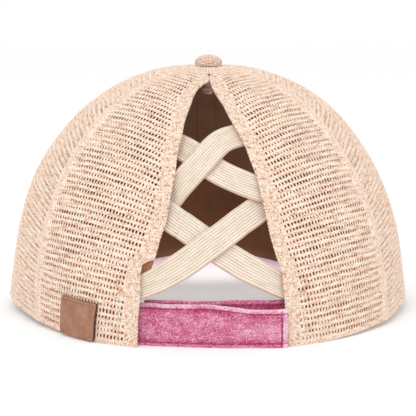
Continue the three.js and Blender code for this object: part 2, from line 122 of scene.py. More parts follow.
# Elastics: across as a share of the opening's half width, height as a share of the crown's
ELASTIC_WIDTH = 12.0
ELASTIC_RIBS = 10
ELASTICS = {
    "elastic_upper_over": {
        "across": [-0.58, -0.363, -0.111, 0.216, 0.448, 0.58, 0.69],
        "height": [0.801, 0.789, 0.762, 0.674, 0.61, 0.571, 0.536],
        "layer": [0, 0, 0, 0, 0.5, 1.5, 1.8],
        "end_width": 12.0,
    },
    "elastic_upper_under": {
        "across": [0.685, 0.471, 0.267, -0.058, -0.306, -0.545, -0.774],
        "height": [0.775, 0.761, 0.733, 0.673, 0.636, 0.604, 0.586],
        "layer": [0, 1, 1, 1, 0.7, 0, 0],
        "end_width": 12.0,
    },
    "elastic_lower_under": {
        "across": [0.88, 0.599, 0.455, 0.359, -0.038, -0.393, -0.605, -0.916, -1.156],
        "height": [0.542, 0.497, 0.472, 0.457, 0.383, 0.32, 0.284, 0.236, 0.21],
        "layer": [0.3, 0.3, 0.4, 1, 1, 0.8, 0, 0, 0],
        "end_width": 10.4,
    },
    "elastic_lower_over": {
        "across": [-0.955, -0.448, -0.294, 0.049, 0.425, 0.805, 1.145],
        "height": [0.577, 0.488, 0.457, 0.388, 0.313, 0.249, 0.213],
        "layer": [1, 1, 0.1, 0, 0, 0, 0],
        "end_width": 10.4,
    },
}

# Straps: a lay of 1 is the depth under the hems, and -1 lies on the outer face
STRAP_WIDTH = 18.4
STRAP_END_WIDTH = 15.7
STRAP_TUCK = 9.0
STRAP_FREE_LAP = -0.3
STRAP_TOP_SEAM = 1.9
STRAP_FOOT_SEAM = 2.1
STRAP_END_SEAM = 2.5
STRAP_GROOVE = 0.32
STITCH_PITCH = 3.3
INNER_STRAP_WIDTH = STRAP_WIDTH + 1.3
INNER_STRAP_SHORT = 1.6
OUTER_LAY = {"along": [0, 0.16, 0.27, 0.56, 0.83, 0.93, 1], "layer": [1, 1, 0.72, 0.17, -0.66, -1, -1]}
INNER_LAY = {"along": [0, 0.18, 0.41, 1], "layer": [1.63, 1.22, 1, 1]}

# Label, button, rivet, brim, band and tape
LABEL_WIDTH = 22.5
LABEL_HEIGHT = 16.0
LABEL_TURN = 37.7
LABEL_WALL = 1.0
LABEL_SEAM = 1.6
BUTTON_RADIUS = 6.85
BUTTON_HEIGHT = 5.0
RIVET_LENGTH = 13.2
BRIM_REACH = 69.0
BRIM_HALF_WIDTH = 94.0
BRIM_END_TURN = 58.0
BRIM_END_WIDTH = 3.0
BRIM_ARCH = 12.0
BRIM_PITCH = 2.0
BRIM_ROUNDNESS = 2.3
BRIM_SEAMS = 0.965 - 0.115 * np.arange(7)  # shares of the way from root to edge
SWEATBAND_HEIGHT = 33.0
TAPE_WIDTH = 10.0


def radians(angle):
    return np.asarray(angle, float) * math.pi / 180


def smooth(value):
    value = np.clip(value, 0, 1)
    return value * value * (3 - 2 * value)


def mix(a, b, share):
    return a + (b - a) * share


def bell(distance, width):
    return np.exp(-((distance / width) ** 2))


def eased(count):
    """Steps from 0 to 1 that are closer at both ends."""
    return 0.5 - 0.5 * np.cos(np.linspace(0, np.pi, count))


def full_turn(count):
    return np.arange(count) / count * 2 * np.pi


def unit(vectors):
    return vectors / np.maximum(np.linalg.norm(vectors, axis=-1, keepdims=True), 1e-12)


def paired(a, b):
    return np.broadcast_arrays(np.asarray(a, float), np.asarray(b, float))


def run_along(line):
    """The distance of each point of a line from its start."""
    return np.concatenate([[0], np.cumsum(np.linalg.norm(np.diff(line, axis=0), axis=1))])


def points_at(line, run, places):
    """The points of a line at some distances from its start."""
    return np.stack([np.interp(places, run, line[:, k]) for k in range(3)], 1)


def height_share(turn, climb):
    roundness = mix(BACK_ROUNDNESS, FRONT_ROUNDNESS, smooth(0.5 - 0.5 * np.cos(radians(turn))))
    return np.maximum(np.sin(radians(climb)), 0) ** (2 / roundness)


def rim_arch(turn):
    """How high the rim stands: an arch over the forehead, lowest beside the brim."""
    from_front = 180 - np.abs(turn)
    inner = FRONT_RISE - FRONT_ARCH * (0.5 - 0.5 * np.cos(np.pi * from_front / TEMPLE_TURN))
    past = smooth((from_front - TEMPLE_TURN) / (ARCH_END_TURN - TEMPLE_TURN))
    return np.where(from_front <= TEMPLE_TURN, inner, (FRONT_RISE - FRONT_ARCH) * (1 - past))


def radius_share(turn, climb):
    """Distance from the axis over that of the rim. The seams stand out a little between the panels."""
    last = np.clip(np.searchsorted(SEAMS, turn), 1, len(SEAMS) - 1)
    across = (turn - SEAMS[last - 1]) / (SEAMS[last] - SEAMS[last - 1])
    ridge = mix(SEAM_RIDGE_RIM, SEAM_RIDGE_MIDDLE, np.sin(2 * radians(climb)))
    outline = np.interp(np.abs(turn), RIM_OUTLINE["turn"], RIM_OUTLINE["radius"])
    low = (1 - height_share(turn, climb)) ** 2
    profile = np.maximum(np.cos(radians(climb)), 0) ** (2 / SIDE_ROUNDNESS)
    return profile * (1 + ridge * (1 - np.sin(np.pi * across))) * (1 + (outline - 1) * low)


def cloth_wave(turn, climb):
    """How far the cloth stands out from its even form, from slack and handling."""
    t, c = radians(turn), radians(climb)
    slack = 0.2 * np.sin(5 * t + 3 * c) + 0.14 * np.sin(11 * t - 6 * c + 1)
    slack = slack + 0.1 * np.sin(19 * t + 13 * c + 2)
    left_bulge = 1.6 * bell(turn - 90, 38) * bell(climb - 36, 22)
    left_flare = 1.4 * bell(turn - 88, 20) * bell(climb, 5.5)
    right_bulge = 0.5 * bell(turn + 90, 38) * bell(climb - 30, 20)
    right_flare = 2.0 * bell(turn + 70, 28) * bell(climb, 6.5)
    return slack + left_bulge + left_flare + right_flare + right_bulge


def outer_point(turn, climb):
    turn, climb = paired(turn, climb)
    turn = (turn + 180) % 360 - 180
    radius = radius_share(turn, climb)
    share = height_share(turn, climb)
    depth = np.where(np.cos(radians(turn)) > 0, RIM_BACK_DEPTH, RIM_FRONT_DEPTH)
    x = RIM_HALF_WIDTH * np.sin(radians(turn)) * radius
    y = depth * np.cos(radians(turn)) * radius
    return np.stack([x, y, CROWN_HEIGHT * share + rim_arch(turn) * (1 - share) ** 2], -1)


def outer_normal(turn, climb):
    step = 0.5
    turn, climb = paired(turn, climb)
    along = outer_point(turn + step, climb) - outer_point(turn - step, climb)
    up = outer_point(turn, np.minimum(climb + step, 89.9)) - outer_point(turn, np.maximum(climb - step, 0))
    return unit(np.cross(up, along))


def crown_point(turn, climb, depth):
    """A point a depth inside the outer face. The cloth's unevenness fades out at the top."""
    turn, climb = paired(turn, climb)
    calm = smooth((84 - climb) / 12)
    out = cloth_wave(turn, climb) * calm - depth
    return outer_point(turn, climb) + outer_normal(turn, climb) * np.asarray(out)[..., None]


def turn_at(x, climb):
    x, climb = paired(x, climb)
    turn = np.zeros(x.shape)
    for _ in range(12):
        share = np.clip(x / (RIM_HALF_WIDTH * radius_share(turn, climb)), -1, 1)
        turn = np.degrees(np.arcsin(share))
    return turn


def climb_at(height):
    """The climb at a height over the rim, at the back."""
    return np.degrees(np.arcsin(np.clip(height / CROWN_HEIGHT, 0, 1) ** (BACK_ROUNDNESS / 2)))


def climb_near_axis(distance):
    """The climb where the crown is a distance from its axis."""
    return math.degrees(math.acos((distance / RIM_HALF_WIDTH) ** (SIDE_ROUNDNESS / 2)))


def edge_x(side, climb):
    share = height_share(0, climb)
    column = OPENING_EDGE["left" if side > 0 else "right"]
    half = np.interp(share, OPENING_EDGE["height"], column) * OPENING_HALF_WIDTH
    return side * np.maximum(half, 0.04)


def hem_width(climb):
    share = height_share(0, climb)
    width = mix(HEM_FOOT_WIDTH, HEM_WIDTH, smooth((share - HEM_FOOT_SHARE) / 0.12))
    return width * (1 - np.clip((share - OPENING_END) / (HEM_END - OPENING_END), 0, 1))


def hem_x(side, climb):
    return edge_x(side, climb) + side * hem_width(climb)


def cap_axis():
    """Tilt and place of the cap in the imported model, read from the ends of the rivet under its button."""
    points = np.array([v.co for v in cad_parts["button_rivet"].data.vertices], float) / MM
    foot = points[points[:, 2].argmin()]
    top = points[points[:, 2] > points[:, 2].max() - 0.3].mean(0)
    axis = unit(top - foot)
    return math.atan2(axis[1], axis[2]), foot - axis * (CROWN_HEIGHT - RIVET_LENGTH)


STAND_TILT, STAND_PLACE = cap_axis()


def to_world(points):
    """Points of the cap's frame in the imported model's frame, in metres. Nothing reaches under the floor."""
    points = np.asarray(points, float)
    c, s = math.cos(STAND_TILT), math.sin(STAND_TILT)
    x, y, z = points[..., 0], points[..., 1], points[..., 2]
    turned = np.stack([x, y * c + z * s, -y * s + z * c], -1) + STAND_PLACE
    turned[..., 2] = np.maximum(turned[..., 2], 0)
    return turned * MM


# Materials


def srgb(*values):
    return tuple((((v / 255 + 0.055) / 1.055) ** 2.4 if v > 10 else v / 255 / 12.92) for v in values) + (1,)


class Shader:
    """A material under construction, with short ways to add nodes. Its base is the flat cloth's coordinates
    in millimetres, or else the object's own in metres."""

    def __init__(self, name, roughness=0.8, sheen=0.0, specular=0.3, flat=True):
        self.material = bpy.data.materials.new(name)
        self.material.use_nodes = True
        self.tree = self.material.node_tree
        self.surface = self.tree.nodes["Principled BSDF"]
        self.set(self.surface, {"Roughness": roughness, "Specular IOR Level": specular})
        self.set(self.surface, {"Sheen Weight": sheen, "Sheen Roughness": 0.5})
        if flat:
            coordinates = self.tree.nodes.new("ShaderNodeUVMap")
            coordinates.uv_map = "cloth"
            self.base = coordinates.outputs["UV"]
        else:
            self.base = self.tree.nodes.new("ShaderNodeTexCoord").outputs["Object"]

    def set(self, node, inputs):
        for name, value in inputs.items():
            if isinstance(value, bpy.types.NodeSocket):
                self.tree.links.new(value, node.inputs[name])
            else:
                node.inputs[name].default_value = value

    def node(self, kind, inputs, **settings):
        node = self.tree.nodes.new(kind)
        for name, value in settings.items():
            setattr(node, name, value)
        self.set(node, inputs)
        return node.outputs

    def flat(self):
        """The coordinates across and along the cloth."""
        return self.node("ShaderNodeSeparateXYZ", {"Vector": self.base})[:2]

    def wear(self):
        """The parts of the wear attribute."""
        wear = self.node("ShaderNodeAttribute", {}, attribute_name="wear")["Color"]
        return self.node("ShaderNodeSeparateColor", {"Color": wear})

    def noise(self, x, y, z=1.0, detail=2.0, rough=0.5, twist=0.0, turn=0.0):
        """Noise with so many spots to a unit of each coordinate."""
        inputs = {"Vector": self.base, "Scale": (x, y, z), "Rotation": (0, 0, turn)}
        vector = self.node("ShaderNodeMapping", inputs)["Vector"]
        inputs = {"Vector": vector, "Scale": 1.0, "Detail": detail, "Roughness": rough, "Distortion": twist}
        return self.node("ShaderNodeTexNoise", inputs)["Fac"]

    def math(self, operation, a, b=0.0, c=0.0):
        return self.node("ShaderNodeMath", {0: a, 1: b, 2: c}, operation=operation)[0]

    def times(self, a, b):
        return self.math("MULTIPLY", a, b)

    def off(self, value, middle=0.5):
        """How far a value is from the middle."""
        return self.math("ABSOLUTE", self.math("SUBTRACT", value, middle))

    def total(self, *terms, start=0.0):
        """A sum of values, each with its weight."""
        for value, weight in terms:
            start = self.math("MULTIPLY_ADD", value, weight, start)
        return start

    def blend(self, share, a, b):
        node = self.tree.nodes.new("ShaderNodeMix")
        node.data_type = "RGBA"
        self.set(node, {"Factor": share, "A": a, "B": b})
        return node.outputs["Result"]

    def ramp(self, value, *stops):
        """Colours at places from 0 to 1: each stop is a place, red, green and blue."""
        node = self.tree.nodes.new("ShaderNodeValToRGB")
        self.set(node, {"Fac": value})
        band = node.color_ramp
        while len(band.elements) < len(stops):
            band.elements.new(0.5)
        for element, (place, *colour) in zip(band.elements, stops):
            element.position = place
            element.color = srgb(*colour)
        return node.outputs["Color"]

    def spread(self, value, low, high, kind="LINEAR"):
        """Stretches a narrow range of values to 0 to 1."""
        inputs = {"Value": value, "From Min": low, "From Max": high}
        return self.node("ShaderNodeMapRange", inputs, interpolation_type=kind)["Result"]

    def wave(self, value, period, phase=0.0):
        """A sine of a length, 0 to 1."""
        angle = self.total((value, 2 * math.pi / period), start=phase)
        return self.total((self.math("SINE", angle), 0.5), start=0.5)

    def finish(self, colour, height, depth, strength):
        """Connects the colour and a relief so many millimetres deep."""
        bump = {"Height": height, "Strength": strength, "Distance": depth * MM}
        normal = self.node("ShaderNodeBump", bump)["Normal"]
        self.set(self.surface, {"Base Color": colour, "Normal": normal})
        return self.material


def knit_material(name, light=0.0, streaks=(0.16, 0.95), relief=0.4):
    """Melange yarn, cream and peach, that changes along the rows, with rows of small V stitches."""
    shader = Shader(name, roughness=0.9, sheen=0.12, specular=0.2)
    across, along = shader.flat()
    streak = shader.noise(*streaks, detail=3.0, rough=0.6, turn=0.25)
    patch = shader.noise(0.05, 0.09, detail=1.0)
    grain = shader.noise(1.5, 1.15, rough=0.7, twist=0.4)
    dots = shader.noise(3.2, 2.6, detail=1.0)
    tone = shader.total((streak, 0.36), (grain, 0.46), (dots, 0.2), (patch, 0.04), start=light - 0.03)
    stops = [(0.39, 184, 122, 88), (0.435, 215, 163, 131), (0.48, 233, 203, 179), (0.54, 246, 230, 214)]
    colour = shader.ramp(tone, *stops)
    column = shader.math("FRACT", shader.math("DIVIDE", across, CELL_WIDTH / 2))
    fold = shader.off(column)
    loop = shader.wave(shader.total((fold, 1.35), start=along), 1.35)
    valley = shader.times(shader.spread(fold, 0.0, 0.1), shader.spread(fold, 0.5, 0.42))
    stitches = shader.times(loop, valley)
    height = shader.total((shader.noise(5, 5), 0.5), (stitches, 1.0))
    return shader.finish(colour, height, 0.25, relief)


def denim_material(name):
    """Pink denim, washed out in blotches and along its edges. The wear attribute holds fade and painted
    groove shade.
    """
    shader = Shader(name, roughness=0.85, sheen=0.15, specular=0.2)
    wear = shader.wear()
    blotch = shader.noise(0.16, 0.22, detail=4.0, rough=0.65)
    curl = shader.noise(0.42, 0.5, rough=0.6, twist=3.0)
    vein = shader.spread(shader.off(curl), 0.05, 0.0)
    grain = shader.noise(1.3, 1.8, detail=3.0, rough=0.75)
    # wear[1] is painted shade: darker along the stitching grooves, and over the strap's inner layer
    terms = [(blotch, 0.44), (grain, 0.68), (vein, 0.26), (wear[0], 0.2), (wear[1], -0.2)]
    stops = [(0.3, 156, 36, 74), (0.42, 190, 72, 114), (0.5, 206, 104, 142), (0.6, 222, 152, 182)]
    colour = shader.ramp(shader.total(*terms, start=-0.105), *stops, (0.76, 240, 212, 224))
    twill = shader.wave(shader.math("ADD", *shader.flat()), 0.62)
    height = shader.total((grain, 0.9), (twill, 0.7), (curl, 1.2))
    return shader.finish(colour, height, 0.22, 0.7)


def elastic_material(name):
    """Ribbed elastic: pale ribs, painted shade in the grooves, a painted pink reflection along the lower
    edge.
    """
    shader = Shader(name, roughness=0.75, sheen=0.1, specular=0.25)
    across, along = shader.flat()
    # painted shade: the colour darkens in the grooves between the ribs
    rib_groove_shade = shader.wave(across, ELASTIC_WIDTH / ELASTIC_RIBS, math.pi / 2)
    dirt = shader.noise(0.4, 0.12, detail=3.0)
    grain = shader.noise(4.0, 1.6)
    tone = shader.total((rib_groove_shade, 0.34), (grain, 0.8), (dirt, 0.4), start=-0.26)
    colour = shader.ramp(tone, (0.12, 172, 146, 122), (0.46, 222, 206, 187), (0.85, 246, 238, 225))
    # painted reflection: a reddish tint of light thrown back by the pink denim, along the lower edge
    pink_reflection_edge = shader.spread(across, 0.72 - ELASTIC_WIDTH / 2, 0.42 - ELASTIC_WIDTH / 2)
    colour = shader.blend(shader.times(pink_reflection_edge, 0.45), colour, srgb(190, 120, 96))
    height = shader.total((shader.wave(along, 0.42), 0.35), (grain, 0.5))
    return shader.finish(colour, height, 0.12, 0.6)


def woven_material(name, dark, light, period=0.5, roughness=0.65, outer=None):
    """A plain close weave. An outer colour, where given, is painted light on the side the wear attribute
    marks.
    """
    shader = Shader(name, roughness=roughness, sheen=0.08, specular=0.35)
    across, along = shader.flat()
    weave = shader.times(shader.wave(across, period), shader.wave(along, period))
    cloud = shader.noise(0.05, 0.05, detail=3.0)
    slub = shader.noise(0.3, 3.0)
    tone = shader.total((cloud, 0.5), (slub, 0.3), (weave, 0.2))
    colour = shader.ramp(tone, (0.3, *dark), (0.65, *light))
    if outer is not None:
        colour = shader.blend(shader.wear()[0], colour, srgb(*outer))
    return shader.finish(colour, shader.total((slub, 0.4), (weave, 1.0)), 0.1, 0.5)


def leather_material(name):
    """Matt nubuck: fine grain, faint blotches, dark cut edges, with painted shade at the lifted right edge.
    """
    shader = Shader(name, roughness=0.72)
    cloud = shader.noise(0.14, 0.14, detail=4.0, rough=0.6)
    grain = shader.noise(2.4, 2.4, detail=3.0, rough=0.7)
    tone = shader.total((cloud, 0.5), (grain, 0.5))
    colour = shader.ramp(tone, (0.34, 136, 92, 72), (0.5, 160, 114, 91), (0.64, 180, 136, 112))
    # the wear attribute's second part: dark cut edges, and painted shade at the lifted right edge and the
    # back
    colour = shader.blend(shader.wear()[1], colour, srgb(62, 38, 28))
    return shader.finish(colour, grain, 0.12, 0.5)


def thread_material(name, dark, light):
    shader = Shader(name, roughness=0.6, sheen=0.1, specular=0.35)
    across, along = shader.flat()
    twist = shader.wave(shader.total((across, 0.6), start=along), 0.45)
    tone = shader.total((twist, 0.3), (shader.noise(0.7, 0.7), 0.7))
    return shader.finish(shader.ramp(tone, (0.25, *dark), (0.7, *light)), twist, 0.08, 0.6)


def metal_material(name):
    shader = Shader(name, roughness=0.42, specular=0.5, flat=False)
    shader.set(shader.surface, {"Metallic": 0.55})
    scratch = shader.noise(900, 900, 300, detail=3.0)
    tone = shader.total((scratch, 0.5), (shader.noise(300, 300, 300), 0.5))
    return shader.finish(shader.ramp(tone, (0.35, 168, 136, 116), (0.65, 226, 202, 184)), scratch, 0.05, 0.4)


MESH_KNIT = knit_material("mesh_knit")
DENSE_KNIT = knit_material("dense_knit", light=-0.002, streaks=(0.7, 0.55), relief=0.7)
DENIM = denim_material("denim")
ELASTIC = elastic_material("elastic")
LINING = woven_material("lining", (108, 72, 48), (144, 102, 72))
# the sweatband's outer face is painted lighter: painted light for the shaded face seen through the mesh holes
BAND = woven_material("sweatband", (110, 68, 42), (146, 98, 66), 0.7, 0.8, outer=(206, 142, 106))
LEATHER = leather_material("leather")
PINK_THREAD = thread_material("pink_thread", (128, 30, 52), (178, 62, 86))
CREAM_THREAD = thread_material("cream_thread", (222, 176, 146), (253, 244, 234))
BROWN_THREAD = thread_material("brown_thread", (84, 56, 42), (132, 96, 76))
METAL = metal_material("rivet")


# Meshes


def make_piece(name, body, material, replaces=(), uv=None, wear=None):
    """A mesh object from a body in the cap's frame, which rides on the cap."""
    points, faces = body
    mesh = bpy.data.meshes.new(name)
    mesh.from_pydata(to_world(points).tolist(), [], faces)
    mesh.polygons.foreach_set("use_smooth", [True] * len(mesh.polygons))
    corners = np.zeros(len(mesh.loops), np.int32)
    mesh.loops.foreach_get("vertex_index", corners)
    uv = np.asarray(points[:, :2] if uv is None else uv, np.float32).reshape(-1, 2)
    mesh.uv_layers.new(name="cloth").data.foreach_set("uv", uv[corners].ravel())
    if wear is not None:
        colours = np.ones((len(points), 4), np.float32)
        colours[:, :3] = np.clip(wear, 0, 1).reshape(-1, 3)
        mesh.color_attributes.new("wear", "FLOAT_COLOR", "POINT").data.foreach_set("color", colours.ravel())
    mesh.validate()
    mesh.materials.append(material)
    obj = bpy.data.objects.new(name, mesh)
    bpy.context.scene.collection.objects.link(obj)
    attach(obj, "root")
    if replaces:
        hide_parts(*replaces)
    return obj


def fans(body):
    """The corners of the triangles that a body's faces fall into, seen from each face's first corner."""
    points, faces = body
    for size in {len(f) for f in faces}:
        ring = points[np.array([f for f in faces if len(f) == size])]
        for k in range(1, size - 1):
            yield ring[:, 0], ring[:, k], ring[:, k + 1]


def facing_out(points, faces):
    """A closed body, turned over if it is inside out."""
    volume = sum((a * np.cross(b, c)).sum() for a, b, c in fans((points, faces)))
    return points, faces if volume > 0 else [f[::-1] for f in faces]


def cut_area(body):
    """Half the surface of a thin closed body, in square metres."""
    total = sum(np.linalg.norm(np.cross(b - a, c - a), axis=1).sum() for a, b, c in fans(body))
    return total / 4 * MM * MM


def round_trip(front, back, axis=1):
    """Rings that run over the front of a wall and return over its back."""
    return np.concatenate([front, np.flip(back, axis)], axis)


def tube_faces(index):
    """Faces between each ring of points and the next."""
    a, b = index[:-1], index[1:]
    return np.stack([a, np.roll(a, -1, 1), np.roll(b, -1, 1), b], -1).reshape(-1, 4).tolist()


def loft(sections):
    """A closed body through rings of points. Each end is closed by faces across its ring."""
    count, size = sections.shape[:2]
    index = np.arange(count * size).reshape(count, size)
    faces = tube_faces(index)
    for ring, step in ((index[0].tolist(), -1), (index[-1].tolist(), 1)):
        for k in range(size // 2 - 1):
            faces.append([ring[k], ring[k + 1], ring[size - 2 - k], ring[size - 1 - k]][::step])
    return facing_out(sections.reshape(-1, 3), faces)


def spindle(rings, ends):
    """A closed body through rings round an axis. Each end runs to a point, or is flat where it is None."""
    points = rings.reshape(-1, 3)
    index = np.arange(len(points)).reshape(rings.shape[:2])
    faces = tube_faces(index)
    for ring, end in zip((index[0][::-1].tolist(), index[-1].tolist()), ends):
        if end is None:
            faces.append(ring)
        else:
            faces += [[a, b, len(points)] for a, b in zip(ring, ring[1:] + ring[:1])]
            points = np.concatenate([points, [end]])
    return facing_out(points, faces)


def wall_grid(rows, columns, place, wall):
    """A closed cloth wall. place gives points for a row, column and depth."""
    row, column = np.meshgrid(np.arange(rows), np.arange(columns), indexing="ij")
    return loft(round_trip(place(row, column, 0.0 * row), place(row, column, 0.0 * row + wall)))


def sheet_solid(params, depths, faces):
    """A wall from a sheet of faces: its front and back, and walls along every open edge of the sheet."""
    count = len(params)
    edges = np.concatenate([np.stack([f, np.roll(f, -1, 1)], -1).reshape(-1, 2) for f in faces])
    key = np.sort(edges, 1)
    _, first, times = np.unique(key[:, 0] * count + key[:, 1], return_index=True, return_counts=True)
    rim = edges[first[times == 1]]
    out = []
    for f in faces:
        out += f.tolist() + (f[:, ::-1] + count).tolist()
    out += np.stack([rim[:, 1], rim[:, 0], rim[:, 0] + count, rim[:, 1] + count], 1).tolist()
    return np.concatenate([params, params]), np.concatenate([depths[:, 0], depths[:, 1]]), out


# Knitted panels


class Cloth:
    """Flat cloth laid on the crown between two edges. Its rows are square to a base meridian, as a straight
    row of a flat piece lies on a dome. u runs along the rows and v up the meridian, in millimetres."""

    SAMPLES = 130
    LEVELS = 80
    TOP_RADIUS = 3.5  # under the button

    def __init__(self, side, near, far, base):
        self.side = side
        self.base = base
        top = self.lift(base, climb_near_axis(self.TOP_RADIUS))
        self.levels = np.linspace(0, math.atan(top), self.LEVELS)
        self.turns = np.linspace(0 if callable(near) else near, far, self.SAMPLES)
        level, turn = np.meshgrid(self.levels, self.turns, indexing="ij")
        climb = self.climb(level, turn)
        points = outer_point(side * turn, climb)
        lengths = np.array([run_along(row) for row in points])
        middle = np.array([np.interp(base, self.turns, row) for row in lengths])
        self.lengths = lengths - middle[:, None]
        self.heights = run_along(outer_point(side * base, self.climb(self.levels, base)))
        self.near, self.far = self.lengths[:, 0], self.lengths[:, -1]
        if callable(near):
            past = side * points[..., 0] - side * near(side, climb)
            first = (past < 0).sum(1).clip(1, self.SAMPLES - 1)
            k = np.arange(self.LEVELS)
            share = np.clip(past[k, first - 1] / (past[k, first - 1] - past[k, first]), 0, 1)
            self.near = mix(self.lengths[k, first - 1], self.lengths[k, first], share)

    def lift(self, turn, climb):
        """Height over distance from the axis, both as shares."""
        return height_share(self.side * turn, climb) / radius_share(self.side * turn, climb)

    def climb(self, level, turn):
        """The climb where a row at a level crosses a turn."""
        low, high = np.zeros(np.shape(level)), np.full(np.shape(level), 90.0)
        lean = np.cos(radians(turn - self.base)) * np.sin(level)
        for _ in range(24):
            middle = (low + high) / 2
            share = height_share(self.side * turn, middle)
            under = share * np.cos(level) < radius_share(self.side * turn, middle) * lean
            low, high = np.where(under, middle, low), np.where(under, high, middle)
        return (low + high) / 2

    def limits(self, v):
        return np.interp(v, self.heights, self.near), np.interp(v, self.heights, self.far)

    def find(self, u, v):
        """Turn and climb of points of the flat cloth."""
        place = np.interp(v, self.heights, np.arange(self.LEVELS))
        k = np.clip(place.astype(int), 0, self.LEVELS - 2)
        rows = mix(self.lengths[k], self.lengths[k + 1], (place - k)[:, None])
        i = np.clip((rows < u[:, None]).sum(1), 1, self.SAMPLES - 1)
        n = np.arange(len(u))
        share = (u - rows[n, i - 1]) / (rows[n, i] - rows[n, i - 1])
        turn = mix(self.turns[i - 1], self.turns[i], share)
        return self.side * turn, self.climb(np.interp(v, self.heights, self.levels), turn)


def panel_depths(cloth, flat, seam_near, hole_ring, centre, beside):
    """Depths of a panel's front and back: sunk holes, seams that stand out and a rolled lower edge."""
    depths = np.tile([0.0, PANEL_WALL], (len(flat), 1))
    depths[hole_ring.ravel()] = [HOLE_DEPTH, PANEL_WALL - HOLE_DEPTH]
    depths[centre] = [0.12, PANEL_WALL]
    depths[beside.ravel(), 0] -= 0.05
    u, v = flat.T
    low_u, high_u = cloth.limits(v)
    depths[:, 0] -= SEAM_SWELL * bell(high_u - u, SEAM_SWELL_WIDTH)
    if seam_near:
        depths[:, 0] -= SEAM_SWELL * bell(u - low_u, SEAM_SWELL_WIDTH)
    fold = bell(v - 0.6, 0.7)
    depths[:, 0] += 0.12 * bell(v, 0.4) + 0.15 * bell(v - FOLD_HEIGHT, 0.35) - 0.35 * fold
    depths[:, 1] += 0.4 * fold
    return depths


def knit_panel(name, side, near, far, base, near_band):
    """A mesh panel: rows of small upright holes, closed along its seams, with a folded lower edge."""
    cloth = Cloth(side, near, far, base)
    rng = np.random.default_rng(sum((k + 1) * ord(c) for k, c in enumerate(name)))
    edges = [0.0, FOLD_HEIGHT]
    while edges[-1] < cloth.heights[-1] - ROW_PITCHES[0]:
        edges.append(edges[-1] + ROW_PITCHES[len(edges) % 2])
    edges = np.array(edges + [cloth.heights[-1]])
    near_u, far_u = cloth.limits(edges)
    first, last = math.floor(near_u.min() / CELL_WIDTH), math.ceil(far_u.max() / CELL_WIDTH)
    columns = np.arange(first, last + 1) * CELL_WIDTH
    rows, cols = len(edges), len(columns)

    # Eight points round each cell: its corners, and one between each two of them
    corner_u = np.clip(columns[None, :], near_u[:, None], far_u[:, None])
    corner_v = np.repeat(edges[:, None], cols, 1)
    mid_u, mid_v = (corner_u[:, 1:] + corner_u[:, :-1]) / 2, corner_v[:, 1:]
    beside_u, beside_v = (corner_u[1:] + corner_u[:-1]) / 2, (corner_v[1:] + corner_v[:-1]) / 2
    blocks = [(corner_u, corner_v), (mid_u, mid_v), (beside_u, beside_v)]
    starts = np.cumsum([0] + [u.size for u, v in blocks])
    corner, mid, beside = (n + np.arange(u.size).reshape(u.shape) for n, (u, v) in zip(starts, blocks))
    flat = np.concatenate([np.stack([u.ravel(), v.ravel()], 1) for u, v in blocks])
    i, j = (g.ravel() for g in np.meshgrid(np.arange(rows - 1), np.arange(cols - 1), indexing="ij"))
    lower = [corner[i, j], mid[i, j], corner[i, j + 1], beside[i, j + 1]]
    upper = [corner[i + 1, j + 1], mid[i + 1, j], corner[i + 1, j], beside[i, j]]
    ring = np.stack(lower + upper, 1)

    # Where there is room for a hole, and how large it is
    centre_u, centre_v = flat[ring, 0].mean(1), (edges[i] + edges[i + 1]) / 2
    low_width, high_width = corner_u[i, j + 1] - corner_u[i, j], corner_u[i + 1, j + 1] - corner_u[i + 1, j]
    low_u, high_u = cloth.limits(centre_v)
    room = np.minimum(centre_u - low_u - near_band, (high_u - centre_u - SEAM_BAND) / HOLE_FADE)
    room += rng.normal(0, 0.12, len(i))
    uncut = np.minimum(low_width, high_width) > 0.98 * CELL_WIDTH
    full = uncut & (room > 0.15) & (i > 0) & (i < rows - 2)
    phase = rng.uniform(0, 2 * np.pi, rows)
    slow = 0.86 + 0.17 * np.sin(centre_u / 7.5 + phase[i]) + 0.1 * np.sin(centre_u / 2.9 + 2 * phase[i])
    slow *= np.where(i % 2 == 0, 1.0, 0.94)
    size = np.clip(slow + rng.normal(0, 0.07, len(i)), 0.5, 1.12) * np.clip(0.45 + 0.55 * room, 0.45, 1)

    angles = radians(np.arange(-135, 225, 45))
    holes = np.flatnonzero(full)
    size = size[holes, None]
    aside = rng.normal(0, 0.05, (2, len(holes)))[..., None]
    hole_u = centre_u[holes, None] + aside[0] + HOLE_HALF_WIDTH * size * np.cos(angles)
    tall = HOLE_HALF_HEIGHT * (edges[i + 1] - edges[i])[holes, None] / np.mean(ROW_PITCHES)
    hole_v = centre_v[holes, None] + aside[1] + tall * (0.4 + 0.6 * size) * np.sin(angles)
    hole_ring = len(flat) + np.arange(hole_u.size).reshape(hole_u.shape)
    shut = np.flatnonzero((low_width + high_width > 1e-6) & ~full)
    centre = len(flat) + hole_u.size + np.arange(len(shut))
    middles = np.stack([centre_u[shut], centre_v[shut]], 1)
    flat = np.concatenate([flat, np.stack([hole_u.ravel(), hole_v.ravel()], 1), middles])
    depths = panel_depths(cloth, flat, not callable(near), hole_ring, centre, beside)

    # Cells that the edges cut have corners in the same place, which become one
    same = np.round(flat, 3)
    _, keep, to = np.unique(same[:, 0] + 1j * same[:, 1], return_index=True, return_inverse=True)
    to = to.ravel()
    outer, inner = ring[holes], hole_ring
    quads = np.stack([outer, np.roll(outer, -1, 1), np.roll(inner, -1, 1), inner], 2).reshape(-1, 4)
    ring = ring[shut]
    spokes = np.stack([ring, np.roll(ring, -1, 1), np.repeat(centre[:, None], ring.shape[1], 1)], 2)
    spokes = to[spokes.reshape(-1, 3)]
    spokes = spokes[(spokes != np.roll(spokes, 1, 1)).all(1)]
    params, depth, faces = sheet_solid(flat[keep], depths[keep], [to[quads], spokes])
    points = crown_point(*cloth.find(params[:, 0], params[:, 1]), depth)
    return facing_out(points, faces), params, np.trapz(cloth.far - cloth.near, cloth.heights)


